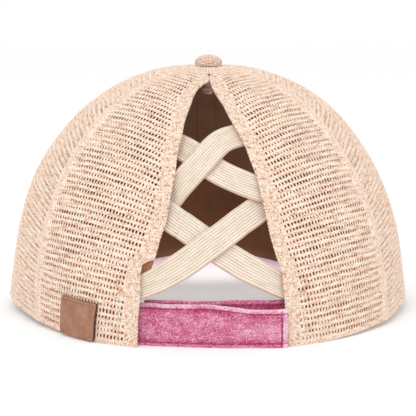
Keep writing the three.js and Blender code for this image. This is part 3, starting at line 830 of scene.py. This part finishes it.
def add_panels():
    plan = [
        ("back_panel", hem_x, SEAM_TURN, BACK_BASE_TURN, 0.1),
        ("side_panel", SEAM_TURN, FRONT_SEAM_TURN, SIDE_BASE_TURN, SEAM_BAND),
        ("front_panel", FRONT_SEAM_TURN, 180.0, FRONT_BASE_TURN, SEAM_BAND),
    ]
    for label, side in (("left", 1), ("right", -1)):
        for stem, near, far, base, band in plan:
            name = f"{stem}_{label}"
            body, params, area = knit_panel(name, side, near, far, base, band)
            panel = make_piece(f"knit_{name}", body, MESH_KNIT, [name], uv=params)


def add_hems():
    """The dense knitted borders of the opening, with an edge of small loops."""
    across = np.concatenate([[0, 0.02, 0.06], np.linspace(0.13, 0.9, 12), [0.96, 1]])
    front = np.concatenate([[0.45, 0.15, -0.03], np.full(12, -0.15), [0.0, 0.35]])
    back = np.concatenate([[0.75, 1.05, 1.25], np.full(12, 1.3), [1.25, 0.9]])
    across, depth = round_trip(across, across, 0), round_trip(front, back, 0)
    climb = climb_at(np.linspace(0, HEM_END - 0.004, 260) * CROWN_HEIGHT)[:, None]
    width = hem_width(climb) + 0.5
    for label, side in (("left", 1), ("right", -1)):
        edge = edge_x(side, climb)
        run = run_along(crown_point(turn_at(edge, climb), climb, 0)[:, 0])[:, None]
        loops = 0.28 * np.abs(np.sin(np.pi * run / 1.5)) + 0.15 * np.sin(run / 3.1 + side)
        x = edge + side * (width * across - loops * (1 - across) ** 6)
        swell = 0.12 * np.sin(run / 2.3) * np.sin(np.pi * across)
        body = loft(crown_point(turn_at(x, climb), climb, depth - swell))
        uv = np.stack([width * across, run + 0 * across], -1)
        hem = make_piece(f"knit_hem_{label}", body, DENSE_KNIT, [f"opening_hem_{label}"], uv=uv)
        flat = (HEM_CUT * MM, run[-1, 0] * MM)
        min(cut_area(body), 0.99 * flat[0] * flat[1])


def catmull(values, samples):
    """A smooth curve through the rows of a table, at even steps."""
    padded = np.vstack([2 * values[0] - values[1], values, 2 * values[-1] - values[-2]])
    t = np.linspace(0, len(values) - 1, samples)
    k = np.minimum(t.astype(int), len(values) - 2)
    f = (t - k)[:, None]
    a, b, c, d = (padded[k + n] for n in range(4))
    return 0.5 * (2 * b + (c - a) * f + (2 * a - 5 * b + 4 * c - d) * f**2 + (3 * b - a - 3 * c + d) * f**3)


def add_elastics():
    """Ribbed elastics: a rolled edge on both sides and fine ribs between."""
    half = ELASTIC_WIDTH / 2
    ribs = np.linspace(-half + 0.35, half - 0.35, 61)
    across = np.concatenate([[-half, -half + 0.12], ribs, [half - 0.12, half]])
    groove = 0.5 - 0.5 * np.cos(2 * np.pi * across / (ELASTIC_WIDTH / ELASTIC_RIBS))
    edge = smooth((np.abs(across) - half + 1.1) / 0.5)
    roll = np.clip((np.abs(across) - half + 0.4) / 0.4, 0, 1) ** 2
    front = 0.1 + 0.3 * groove * (1 - edge) - 0.08 * edge + 0.45 * roll
    back = ELASTIC_WALL - 0.1 * groove - 0.3 * roll
    across, depth = round_trip(across, across, 0), round_trip(front, back, 0)
    stations = 72
    share = np.linspace(0, 1, stations)
    kernel = np.hanning(9) / np.hanning(9).sum()
    for name, table in ELASTICS.items():
        rows = np.stack([np.array(table["across"]) * OPENING_HALF_WIDTH, table["height"], table["layer"]], 1)
        line = catmull(rows, stations)
        layer = np.interp(share, np.linspace(0, 1, len(rows)), rows[:, 2])
        layer = np.convolve(np.pad(layer, 4, mode="edge"), kernel, mode="valid")
        climb = climb_at(line[:, 1] * CROWN_HEIGHT)
        turn = turn_at(line[:, 0], climb)
        centre = crown_point(turn, climb, HEM_DEPTH + ELASTIC_PITCH * layer)
        normal = outer_normal(turn, climb)
        sideways = unit(np.cross(unit(np.gradient(centre, axis=0)), normal))
        width = mix(1.0, table["end_width"] / ELASTIC_WIDTH, smooth((share - 0.66) / 0.24))[:, None]
        aside = sideways[:, None] * (across * width)[..., None]
        body = loft(centre[:, None] + aside - normal[:, None] * depth[:, None])
        run = run_along(centre)
        upward = 1 if sideways[:, 2].mean() > 0 else -1
        uv = np.stack([across * upward + 0 * width, run[:, None] + 0 * across], -1)
        band = make_piece(f"ribbed_{name}", body, ELASTIC, [name], uv=uv)


# Straps and stitches


def capsules(places, directions, normals, length, radius, flatness=0.6):
    """Small thread stitches: a capsule at each place, lying along its direction."""
    rings, size = 4, 5
    share = np.linspace(-1, 1, rings)
    angle = full_turn(size)
    thick = radius * np.sqrt(np.clip(1 - share**2 * 0.96, 0, 1))[:, None, None]
    sideways = unit(np.cross(directions, normals))[:, None, None]
    points = places[:, None, None] + directions[:, None, None] * (share * length / 2)[:, None, None]
    points = points + sideways * thick * np.cos(angle)[:, None]
    points = points + normals[:, None, None] * flatness * thick * np.sin(angle)[:, None]
    one = spindle(points[0], (None, None))[1]
    step = rings * size
    faces = [[i + k * step for i in face] for k in range(len(places)) for face in one]
    uv = np.stack([np.tile(angle, rings), np.repeat(share, size)], 1) * [radius, 1.0]
    uv = uv + (np.arange(len(places)) * 1.7)[:, None, None]
    return points.reshape(-1, 3), faces, uv.reshape(-1, 2)


def stitch_row(line, normals, pitch, length, radius):
    """Stitches along a line of points, an even pitch apart."""
    run = run_along(line)
    centres = np.arange(pitch / 2, run[-1], pitch)
    ahead = points_at(line, run, np.minimum(centres + 0.5, run[-1]))
    direction = unit(ahead - points_at(line, run, centres - 0.5))
    normal = unit(points_at(normals, run, centres))
    return capsules(points_at(line, run, centres), direction, normal, length, radius)


def make_stitches(name, parts, material):
    """Several sets of stitches as one piece."""
    faces, start = [], 0
    for points, own, _ in parts:
        faces += [[i + start for i in face] for face in own]
        start += len(points)
    body = np.concatenate([points for points, _, _ in parts]), faces
    make_piece(name, body, material, uv=np.concatenate([uv for _, _, uv in parts]))


def strap_point(x, height, lay, share, inward):
    """A point of a strap: its outer face lies as deep as the lay says at a share of its length."""
    climb = climb_at(np.maximum(height, 0))
    layer = np.interp(share, lay["along"], lay["layer"])
    depth = np.where(layer < 0, layer * (GAP + STRAP_WALL), layer * STRAP_DEPTH)
    point = crown_point(turn_at(x, climb), climb, depth)
    flat_normal = outer_normal(turn_at(x, 0), 0)
    flat_normal[..., 2] = 0
    point = point - unit(flat_normal) * np.asarray(inward)[..., None]
    point[..., 2] += np.minimum(height, 0)
    return point


def strap_droop(width_left, width_right, along):
    return mix(width_left, width_right, smooth((along - 0.45) / 0.5))


def add_strap(node, left, right, lay, width_left, width_right, free_right):
    """One layer of the strap: rolled edges, a groove along each seam, a slightly hollow and lumpy middle."""
    stations, rows = 140, 43
    along = np.linspace(0, 1, stations)[:, None]
    run = along * abs(right - left)
    width = strap_droop(width_left, width_right, along)
    height = width * eased(rows)
    from_top = width - height
    edge = np.minimum(from_top, height)
    end = run[-1] - run if free_right else np.minimum(run, run[-1] - run)
    groove_top = bell(from_top - STRAP_TOP_SEAM, STRAP_GROOVE)
    groove_foot = bell(height - STRAP_FOOT_SEAM, STRAP_GROOVE)
    end_line = bell(end - STRAP_END_SEAM, STRAP_GROOVE) * (from_top > 1.2) * (height > 0.2)
    roll = 0.85 * np.clip(1 - np.minimum(edge, end) / 0.8, 0, 1) ** 2
    pucker = 0.8 + 0.2 * np.sin(2 * np.pi * run / STITCH_PITCH)
    hollow = 0.22 * smooth((edge - 2.2) / 1.2)
    lumps = 0.1 * np.sin(run / 4.1 + 1) * np.sin(height / 3.3) + 0.06 * np.sin(run / 1.7)
    front = 0.05 + 0.42 * (groove_top + groove_foot) * pucker + 0.4 * end_line + roll + hollow + lumps
    inward = round_trip(front, STRAP_WALL - roll - 0.05)
    wobble = 0.16 * np.sin(run / 5.3) + 0.08 * np.sin(run / 1.9)
    ring_height = round_trip(height, height) * (1 + wobble / width)
    body = loft(strap_point(mix(left, right, along), ring_height, lay, along, inward))
    uv = np.stack([run + 0 * ring_height, ring_height + 40 * (node == "strap_inner")], -1)

    fade = 0.7 * np.exp(-np.minimum(from_top, height + 0.4) / 0.8) + 0.3 * smooth((1.7 - from_top) / 0.5)
    fade = fade + 0.2 * np.sin(run / 2.7) * np.sin(run / 7.9) * (edge < 1.4)
    # painted shade: darker in the grooves along the stitching and where the hollow middle begins
    groove_shade = np.maximum(groove_top, groove_foot) + 0.9 * end_line + 0.35 * bell(edge - 2.9, 0.8)
    if free_right:
        fade = np.maximum(fade, 0.95 * (end < 2.2) + 0.35 * np.exp(-end / 9)) + 0.14 * np.exp(-run / 14)
    else:
        fade = 0.3 * np.maximum(fade, 0)
        # painted shade: the inner layer is darker all over, where it lies behind the outer layer
        groove_shade = groove_shade + 0.3
    wear = np.stack([round_trip(fade, 0.6 * fade), round_trip(groove_shade, 0 * groove_shade), 0 * ring_height], -1)
    strap = make_piece(f"denim_{node}", body, DENIM, [node], uv=uv, wear=wear)


def add_straps():
    """The free outer layer, which is fastened over the right panel, and the inner layer under both panels."""
    left, right = edge_x(1, 0) + STRAP_TUCK, edge_x(-1, 0) - STRAP_FREE_LAP
    add_strap("strap_outer", left, right, OUTER_LAY, STRAP_WIDTH, STRAP_END_WIDTH, True)
    inner_left, inner_right = edge_x(1, 0) - INNER_STRAP_SHORT, edge_x(-1, 0) - STRAP_TUCK
    add_strap("strap_inner", inner_left, inner_right, INNER_LAY, INNER_STRAP_WIDTH, INNER_STRAP_WIDTH, False)

    end_share = 1 - STRAP_END_SEAM / abs(right - left)
    along = np.linspace(0.004, 0.996, 200)
    along = along[along < end_share]
    width = strap_droop(STRAP_WIDTH, STRAP_END_WIDTH, along)
    x = mix(left, right, along)
    x_end = np.full(30, mix(left, right, end_share))
    heights = np.linspace(0.3, STRAP_END_WIDTH - 1.7, 30)
    inner_along = np.linspace(0.01, 0.99, 200)
    inner_x = mix(inner_left, inner_right, inner_along)
    plan = [
        (x, width - STRAP_TOP_SEAM, OUTER_LAY, along, 0.32, STITCH_PITCH, 2.3, 0.42),
        (x, STRAP_FOOT_SEAM, OUTER_LAY, along, 0.32, STITCH_PITCH, 2.3, 0.42),
        (x_end, heights, OUTER_LAY, end_share, 0.32, 2.6, 2.3, 0.45),
        (inner_x, INNER_STRAP_WIDTH - STRAP_TOP_SEAM, INNER_LAY, inner_along, 0.3, STITCH_PITCH, 2.1, 0.34),
    ]
    parts = []
    for x, height, lay, share, depth, pitch, length, radius in plan:
        line = strap_point(x, height, lay, share, depth)
        parts.append(stitch_row(line, outer_normal(turn_at(x, 5), 5), pitch, length, radius))
    make_stitches("strap_stitches", parts, PINK_THREAD)


def brim_root(share):
    turn = 180 - share * BRIM_END_TURN
    point = crown_point(turn, 0, CAD_PANEL_WALL)
    point[..., 2] = rim_arch((turn + 180) % 360 - 180) - GAP
    return point


def brim_front(share):
    end = brim_root(np.array([1.0]))[0]
    length = RIM_FRONT_DEPTH + BRIM_REACH + end[1]
    angle = np.abs(share) * np.pi / 2
    sideways = np.sin(angle) ** (2 / BRIM_ROUNDNESS)
    forward = np.maximum(np.cos(angle), 0) ** (2 / BRIM_ROUNDNESS)
    waist = (BRIM_HALF_WIDTH - end[0] - BRIM_END_WIDTH) * np.sin(angle) ** 20
    x = np.sign(share) * (BRIM_HALF_WIDTH * sideways - waist)
    dip = BRIM_ARCH * (x / BRIM_HALF_WIDTH) ** 2 + BRIM_PITCH * forward
    return np.stack([x, end[1] - length * forward, rim_arch(180.0) - GAP - dip], -1)


def brim_point(share, row, depth):
    point = mix(brim_root(share), brim_front(share), np.asarray(row)[..., None])
    point[..., 2] -= depth
    return point


def brim_reach(share):
    return np.linalg.norm(brim_front(share) - brim_root(share), axis=-1)


def add_brim():
    """The peak: denim over a board, with a rolled edge and rows of stitching in shallow grooves."""
    share = np.linspace(-1, 1, 161)[:, None]
    share = np.sign(share) * np.abs(share) ** 0.9
    close = 0.9 + 0.1 * np.sin(np.linspace(0, np.pi / 2, 24))
    row = np.concatenate([np.linspace(0, 0.9, 42, endpoint=False), close])
    reach = brim_reach(share)
    from_edge = (1 - row) * reach
    groove = sum(bell((row - place) * reach, 0.7) for place in BRIM_SEAMS) * smooth((reach - 12) / 20)
    sunk = 0.05 + 0.28 * groove + 1.15 * np.clip(1 - from_edge / 1.5, 0, 1) ** 2
    points = brim_point(share, round_trip(row, row, 0), round_trip(sunk, BRIM_WALL - sunk))
    uv = points[..., :2] + [0, 200]
    fade = 1.1 * np.exp(-from_edge / 1.1) + 0.25 * bell(groove - 0.35, 0.2) * (groove > 0.05)
    # painted shade: darker in the stitching grooves
    fade, groove_shade = round_trip(fade, fade), 0.55 * round_trip(groove, groove)
    wear = np.stack([fade, groove_shade, 0 * fade], -1)
    make_piece("denim_brim", loft(points), DENIM, ["brim"], uv=uv, wear=wear)

    parts = []
    share = np.linspace(-0.93, 0.93, 400)
    share = share[brim_reach(share) > 20]
    for place in BRIM_SEAMS:
        for depth, up in ((0.3, 1.0), (BRIM_WALL - 0.3, -1.0)):
            normals = np.tile([0.0, 0.0, up], (len(share), 1))
            parts.append(stitch_row(brim_point(share, place, depth), normals, 3.4, 2.5, 0.34))
    make_stitches("brim_stitches", parts, PINK_THREAD)


def add_seams():
    """Short slanting stitches over the seams between the panels."""
    pitch = 1.55
    places, directions, normals = [], [], []
    for turn in (SEAM_TURN, -SEAM_TURN, FRONT_SEAM_TURN, -FRONT_SEAM_TURN, 180.0, 0.0):
        climb = np.linspace(climb_at(HEM_END * CROWN_HEIGHT) if turn == 0.0 else 0.6, 86.5, 500)
        line = crown_point(turn, climb, 0.0)
        normal = outer_normal(turn, climb)
        run = run_along(line)
        for sign, start in ((1, 0.8), (-1, 0.8 + pitch / 2)):
            s = np.minimum(np.arange(0.8, run[-1] - 0.5, pitch) + start - 0.8, run[-1])
            up = unit(points_at(line, run, np.minimum(s + 0.4, run[-1])) - points_at(line, run, s - 0.4))
            out = unit(points_at(normal, run, s))
            aside = unit(np.cross(up, out)) * sign
            jitter = RNG.normal(0, 0.1, (len(s), 1))
            places.append(points_at(line, run, s) + aside * (0.6 + jitter) + out * 0.12)
            directions.append(unit(up + aside * (0.85 + jitter)))
            normals.append(out)
    stitches = capsules(*(np.concatenate(parts) for parts in (places, directions, normals)), 2.0, 0.5, 0.7)
    make_stitches("seam_stitches", [stitches], CREAM_THREAD)


# Inside


def add_lining():
    """The front's lining in two halves, slack enough to ripple a little, and the tape over their seam."""
    foot = float(climb_at(SWEATBAND_HEIGHT + 2 * GAP))
    top = climb_near_axis(7.5)  # beside the rivet
    rows = 70

    def add_wall(name, node, body, room):
        piece = make_piece(name, body, LINING, [node], uv=body[0][:, ::2])
        min(cut_area(body), room)

    columns = 60
    for label, side in (("left", 1), ("right", -1)):

        def place(row, column, depth):
            climb = mix(foot, top, row / (rows - 1))
            turn = side * mix(FRONT_SEAM_TURN + 0.2, 180 - 0.2, column / (columns - 1))
            calm = smooth(np.minimum(column, columns - 1 - column) / (columns - 1) / 0.15)
            ripple = 0.5 * np.sin(radians(turn) * 9 + climb / 9) * np.sin(radians(turn) * 4 - climb / 14)
            pucker = 0.12 * np.sin(climb * 1.9) * (1 - calm)
            inner = LINING_DEPTH + 0.25 + 0.9 * calm * (0.5 + ripple) + pucker
            return crown_point(turn, climb, inner + depth * 0.8)

        body = wall_grid(rows, columns, place, LINING_WALL)
        add_wall(f"lining_{label}", f"front_lining_{label}", body, 0.0105)

    tape_columns = 17

    def tape_place(row, column, depth):
        climb = mix(foot, top, row / (rows - 1))
        share = column / (tape_columns - 1)
        aside = (share - 0.5) * TAPE_WIDTH
        turn = 180 - np.degrees(np.arcsin(aside / (RIM_HALF_WIDTH * radius_share(180.0, climb))))
        edge = np.minimum(share, 1 - share) * TAPE_WIDTH
        fold = 0.3 * bell(edge - 0.2, 0.283) + 0.35 * bell(edge - 1.4, 0.316)
        crown = 0.35 * (1 - (2 * share - 1) ** 2)
        return crown_point(turn, climb, TAPE_DEPTH - 0.15 + fold - crown + 0.7 * depth)

    body = wall_grid(rows, tape_columns, tape_place, 0.8)
    add_wall("seam_tape", "front_seam_tape", body, 0.00114)


def add_sweatband():
    """The sweatband, round the front from one side of the opening to the other. Its left end is a tab."""
    over_straps = INNER_STRAP_WIDTH + FACET_GAP
    slope_end = mix(over_straps + 1, SWEATBAND_HEIGHT, 0.35)
    ends_height = [0, over_straps / 2, over_straps + 1, slope_end, SWEATBAND_HEIGHT]
    ends_past = [12, 12, 12, 4, 5]
    tab_height = [0, over_straps, over_straps + 4.5, 1.1 * SWEATBAND_HEIGHT]
    tab_x = [44, 44, 30, 25.8]
    rows, columns = 20, 320

    def place(row, column, depth):
        height = SWEATBAND_HEIGHT * row / (rows - 1)
        height = height * (1 + 0.11 * np.exp(-column / (columns - 1) * 45))
        climb = climb_at(height)
        left = turn_at(np.interp(height, tab_height, tab_x), climb)
        right = turn_at(edge_x(-1, climb) - np.interp(height, ends_height, ends_past), climb) + 360
        turn = mix(left, right, column / (columns - 1))
        around = (turn + 180) % 360 - 180
        near_opening = 1 - smooth((np.abs(around) - 29) / 7)
        inner = mix(BAND_DEPTH, BAND_BACK_DEPTH, near_opening)
        puffed = (BAND_DEPTH - BAND_FRONT_DEPTH) * (1 - near_opening) * (depth == 0)
        puff = 0.25 * np.sin(np.pi * row / (rows - 1)) * np.sin(turn / 2.1) * np.sin(turn / 5.3)
        seam = 0.25 * bell(height - 30.5, 0.5)
        inner = inner + 0.1 + puff - puffed + np.where(depth > 0, -seam, seam)
        point = crown_point(around, climb, inner + depth * 0.9)
        under_brim = 1 - smooth((180 - np.abs(around) - BRIM_END_TURN) / 8)
        sag = 0.5 + 1.2 * smooth((around - 150) / 12)
        foot = mix(1.0, -BRIM_WALL - GAP / 3 - sag, under_brim)
        point[..., 2] += foot * (1 - height / SWEATBAND_HEIGHT)
        return point

    body = wall_grid(rows, columns, place, BAND_WALL)
    x, y, z = body[0].T
    uv = np.stack([np.degrees(np.arctan2(x, y)) % 360 * 1.65, z], 1)
    # wear marks the outer face, which gets the lighter painted-light colour
    wear = np.zeros((rows, 2 * columns, 3))
    wear[:, :columns, 0] = 1
    band = make_piece("inner_sweatband", body, BAND, ["sweatband"], uv=uv, wear=wear)


# Label, button and rivet


def add_label():
    """The leather patch: bare, its upper edge sewn down, its right edge lifting off a little."""
    rows, columns = 22, 34
    half_turn = math.degrees(LABEL_WIDTH / 2 / float(np.linalg.norm(outer_point(LABEL_TURN, 0.0)[:2])))

    def label_point(sx, sy, depth):
        corner = 0.25 * (np.abs(2 * sx - 1) ** 12) * (np.abs(2 * sy - 1) ** 12)
        turn = LABEL_TURN + mix(half_turn, -half_turn, 0.5 + (sx - 0.5) * (1 - corner * 0.12))
        height = LABEL_HEIGHT * (0.5 + (sy - 0.5) * (1 - corner * 0.12))
        return crown_point(turn, climb_at(height), depth)

    sx, sy = np.meshgrid(eased(columns), eased(rows), indexing="ij")
    edge = np.minimum(np.minimum(sx, 1 - sx) * LABEL_WIDTH, np.minimum(sy, 1 - sy) * LABEL_HEIGHT)
    roll = 0.22 * np.clip(1 - edge / 0.4, 0, 1) ** 2
    groove = 0.2 * bell((1 - sy) * LABEL_HEIGHT - LABEL_SEAM, 0.4)
    lift = 0.5 * smooth((sx - 0.72) / 0.28) * smooth((1 - sy) / 0.5)
    front = -GAP - LABEL_WALL + roll + groove - lift
    back = -GAP + 0.25 - roll * 0.5 - lift
    body = loft(round_trip(label_point(sx, sy, front), label_point(sx, sy, back)))
    flat = np.stack([sx * LABEL_WIDTH, sy * LABEL_HEIGHT], -1)
    wear = np.zeros((columns, 2 * rows, 3))
    # dark cut edges, darker on the right half and over the back: painted shade where the right edge lifts off
    wear[:, :rows, 1] = np.clip(1 - edge / 0.22, 0, 1) * np.where(sx > 0.5, 0.9, 0.35)
    wear[:, rows:, 1] = 0.9
    uv = round_trip(flat, flat)
    make_piece("leather_patch", body, LEATHER, ["leather_label"], uv=uv, wear=wear)
    share = np.linspace(0.03, 0.97, 80)
    line = label_point(share, 1 - LABEL_SEAM / LABEL_HEIGHT, -GAP - LABEL_WALL + 0.12)
    normals = outer_normal(LABEL_TURN + mix(half_turn, -half_turn, share), 8.0)
    make_stitches("label_stitches", [stitch_row(line, normals, 2.3, 1.5, 0.2)], BROWN_THREAD)


def add_button():
    """The covered button: a low dome whose mesh shows as rows of dents."""
    rings, size = 34, 120
    base = CROWN_HEIGHT + GAP
    grid, turn = np.meshgrid(np.linspace(0, 1, rings), full_turn(size), indexing="ij")
    rise = grid * np.pi / 2
    radius = BUTTON_RADIUS * (0.94 + 0.06 * np.sin(2 * rise)) * np.cos(rise)
    height = BUTTON_HEIGHT * (0.12 + 0.88 * np.sin(rise))
    around = np.stack([np.sin(turn), np.cos(turn)], -1)
    flat = around * ((np.pi / 2 - rise) * BUTTON_RADIUS)[..., None]
    dent = (0.5 + 0.5 * np.cos(2 * np.pi * flat / [CELL_WIDTH, 2.5])).prod(-1)
    dent = 0.85 * smooth((dent - 0.25) / 0.6) * smooth(grid / 0.08)
    dome = np.concatenate([around * radius[..., None], height[..., None]], -1)
    dome = dome * (1 - dent / BUTTON_RADIUS)[..., None]
    foot = np.concatenate([around[0] * radius[0][:, None] * 0.9, np.full((size, 1), -0.2)], -1)
    stacked = np.concatenate([foot[None], dome[:-1]]) + [0, 0, base]
    uv = np.concatenate([flat[0], flat[:-1].reshape(-1, 2), [[0, 0]]])
    body = spindle(stacked, (None, [0, 0, base + BUTTON_HEIGHT]))
    make_piece("covered_button", body, DENSE_KNIT, ["top_button"], uv=uv)


def add_rivet():
    """The button's rivet: washer, shank and a domed head with a sunk middle."""
    foot = CROWN_HEIGHT - RIVET_LENGTH
    washer = CROWN_HEIGHT - CAD_PANEL_WALL - FACET_GAP
    head = [
        (0.5, 0.8), (0.9, 0.35), (1.2, 0.12), (1.7, 0.05), (2.3, 0.35), (2.75, 1.0), (3.0, 1.9),
        (3.0, 2.6), (2.85, 3.1), (2.5, 3.4), (2.05, 3.45), (2.0, 4.2),
    ]
    disc = [(2.0, -1.0), (5.2, -0.8), (5.5, -0.65), (5.5, -0.1), (5.3, 0.0), (2.0, 0.0)]
    profile = [(r, foot + z) for r, z in head] + [(r, washer + z) for r, z in disc] + [(2.0, CROWN_HEIGHT)]
    radius, height = np.array(profile).T[:, :, None]
    angle = full_turn(40)
    rings = np.stack([radius * np.sin(angle), radius * np.cos(angle), height + 0 * angle], -1)
    body = spindle(rings, ([0, 0, foot + 0.9], [0, 0, CROWN_HEIGHT]))
    make_piece("button_back", body, METAL, ["button_rivet"])


# Stage


def add_floor():
    """A pale floor that glows a little, most of all under the cap, where the photograph's is as bright."""
    mesh = bpy.data.meshes.new("floor")
    mesh.from_pydata([(-6, -6, 0), (6, -6, 0), (6, 6, 0), (-6, 6, 0)], [], [(0, 1, 2, 3)])
    floor = bpy.data.objects.new("floor", mesh)
    bpy.context.scene.collection.objects.link(floor)
    shader = Shader("floor", roughness=0.9, specular=0.1, flat=False)
    glow = 0.18
    for y, reach, full, strength in ((-0.02, 0.09, 0.03, 0.26), (-0.065, 0.055, 0.018, 0.38)):
        inputs = {0: shader.base, 1: (0, y, 0)}
        away = shader.node("ShaderNodeVectorMath", inputs, operation="DISTANCE")["Value"]
        glow = shader.total((shader.spread(away, reach, full, "SMOOTHSTEP"), strength), start=glow)
    colours = {"Base Color": (0.8, 0.8, 0.8, 1), "Emission Color": (1, 1, 1, 1)}
    shader.set(shader.surface, {**colours, "Emission Strength": glow})
    mesh.materials.append(shader.material)


def add_light(name, place, target, width, power):
    light = bpy.data.lights.new(name, "AREA")
    light.shape = "DISK"
    light.size = width
    light.energy = power
    obj = bpy.data.objects.new(name, light)
    bpy.context.scene.collection.objects.link(obj)
    obj.location = place
    obj.rotation_mode = "QUATERNION"
    obj.rotation_quaternion = (Vector(target) - Vector(place)).to_track_quat("-Z", "Y")


def add_camera():
    """The photograph's view: from behind, 10.5 degrees above level and 1 degree to the wearer's left."""
    sensor, focal_length = 36.0, 1489 / 416  # the second in picture widths
    rise, swing, distance = math.radians(10.5), math.radians(1.0), 710.4
    data = bpy.data.cameras.new("camera")
    data.sensor_width = sensor
    data.lens = sensor * focal_length
    data.clip_start = 0.05
    data.clip_end = 20
    camera = bpy.data.objects.new("camera", data)
    bpy.context.scene.collection.objects.link(camera)
    target = np.array([0.25, 0, 41.7])
    away = np.array([math.sin(swing) * math.cos(rise), math.cos(swing) * math.cos(rise), math.sin(rise)])
    eye, aim, above = (Vector(to_world(p)) for p in (target + away * distance, target, target + [0, 0, 50.0]))
    forward = (aim - eye).normalized()
    right = forward.cross(above - aim).normalized()
    up = right.cross(forward)
    camera.location = eye
    camera.rotation_mode = "QUATERNION"
    camera.rotation_quaternion = Matrix((right, up, -forward)).transposed().to_quaternion()
    bpy.context.scene.camera = camera


def add_stage():
    """The floor, soft white light all round, three lamps and the camera."""
    add_floor()
    world = bpy.data.worlds.new("world")
    world.use_nodes = True
    world.node_tree.nodes["Background"].inputs["Color"].default_value = (1, 1, 1, 1)
    world.node_tree.nodes["Background"].inputs["Strength"].default_value = 1.0
    bpy.context.scene.world = world
    add_light("main_light", (0.5, 0.9, 1.3), (0, 0, 0.05), 0.7, 5)
    add_light("fill_light", (-0.8, 1.0, 0.5), (0, 0, 0.05), 0.6, 1.5)
    add_light("front_light", (0, -1.3, 0.12), (0, 0, 0.03), 0.25, 1.5)
    add_camera()
    bpy.context.scene.view_settings.view_transform = "Standard"


add_panels()
add_hems()
add_elastics()
add_straps()
add_brim()
add_seams()
add_lining()
add_sweatband()
add_label()
add_button()
add_rivet()
add_stage()
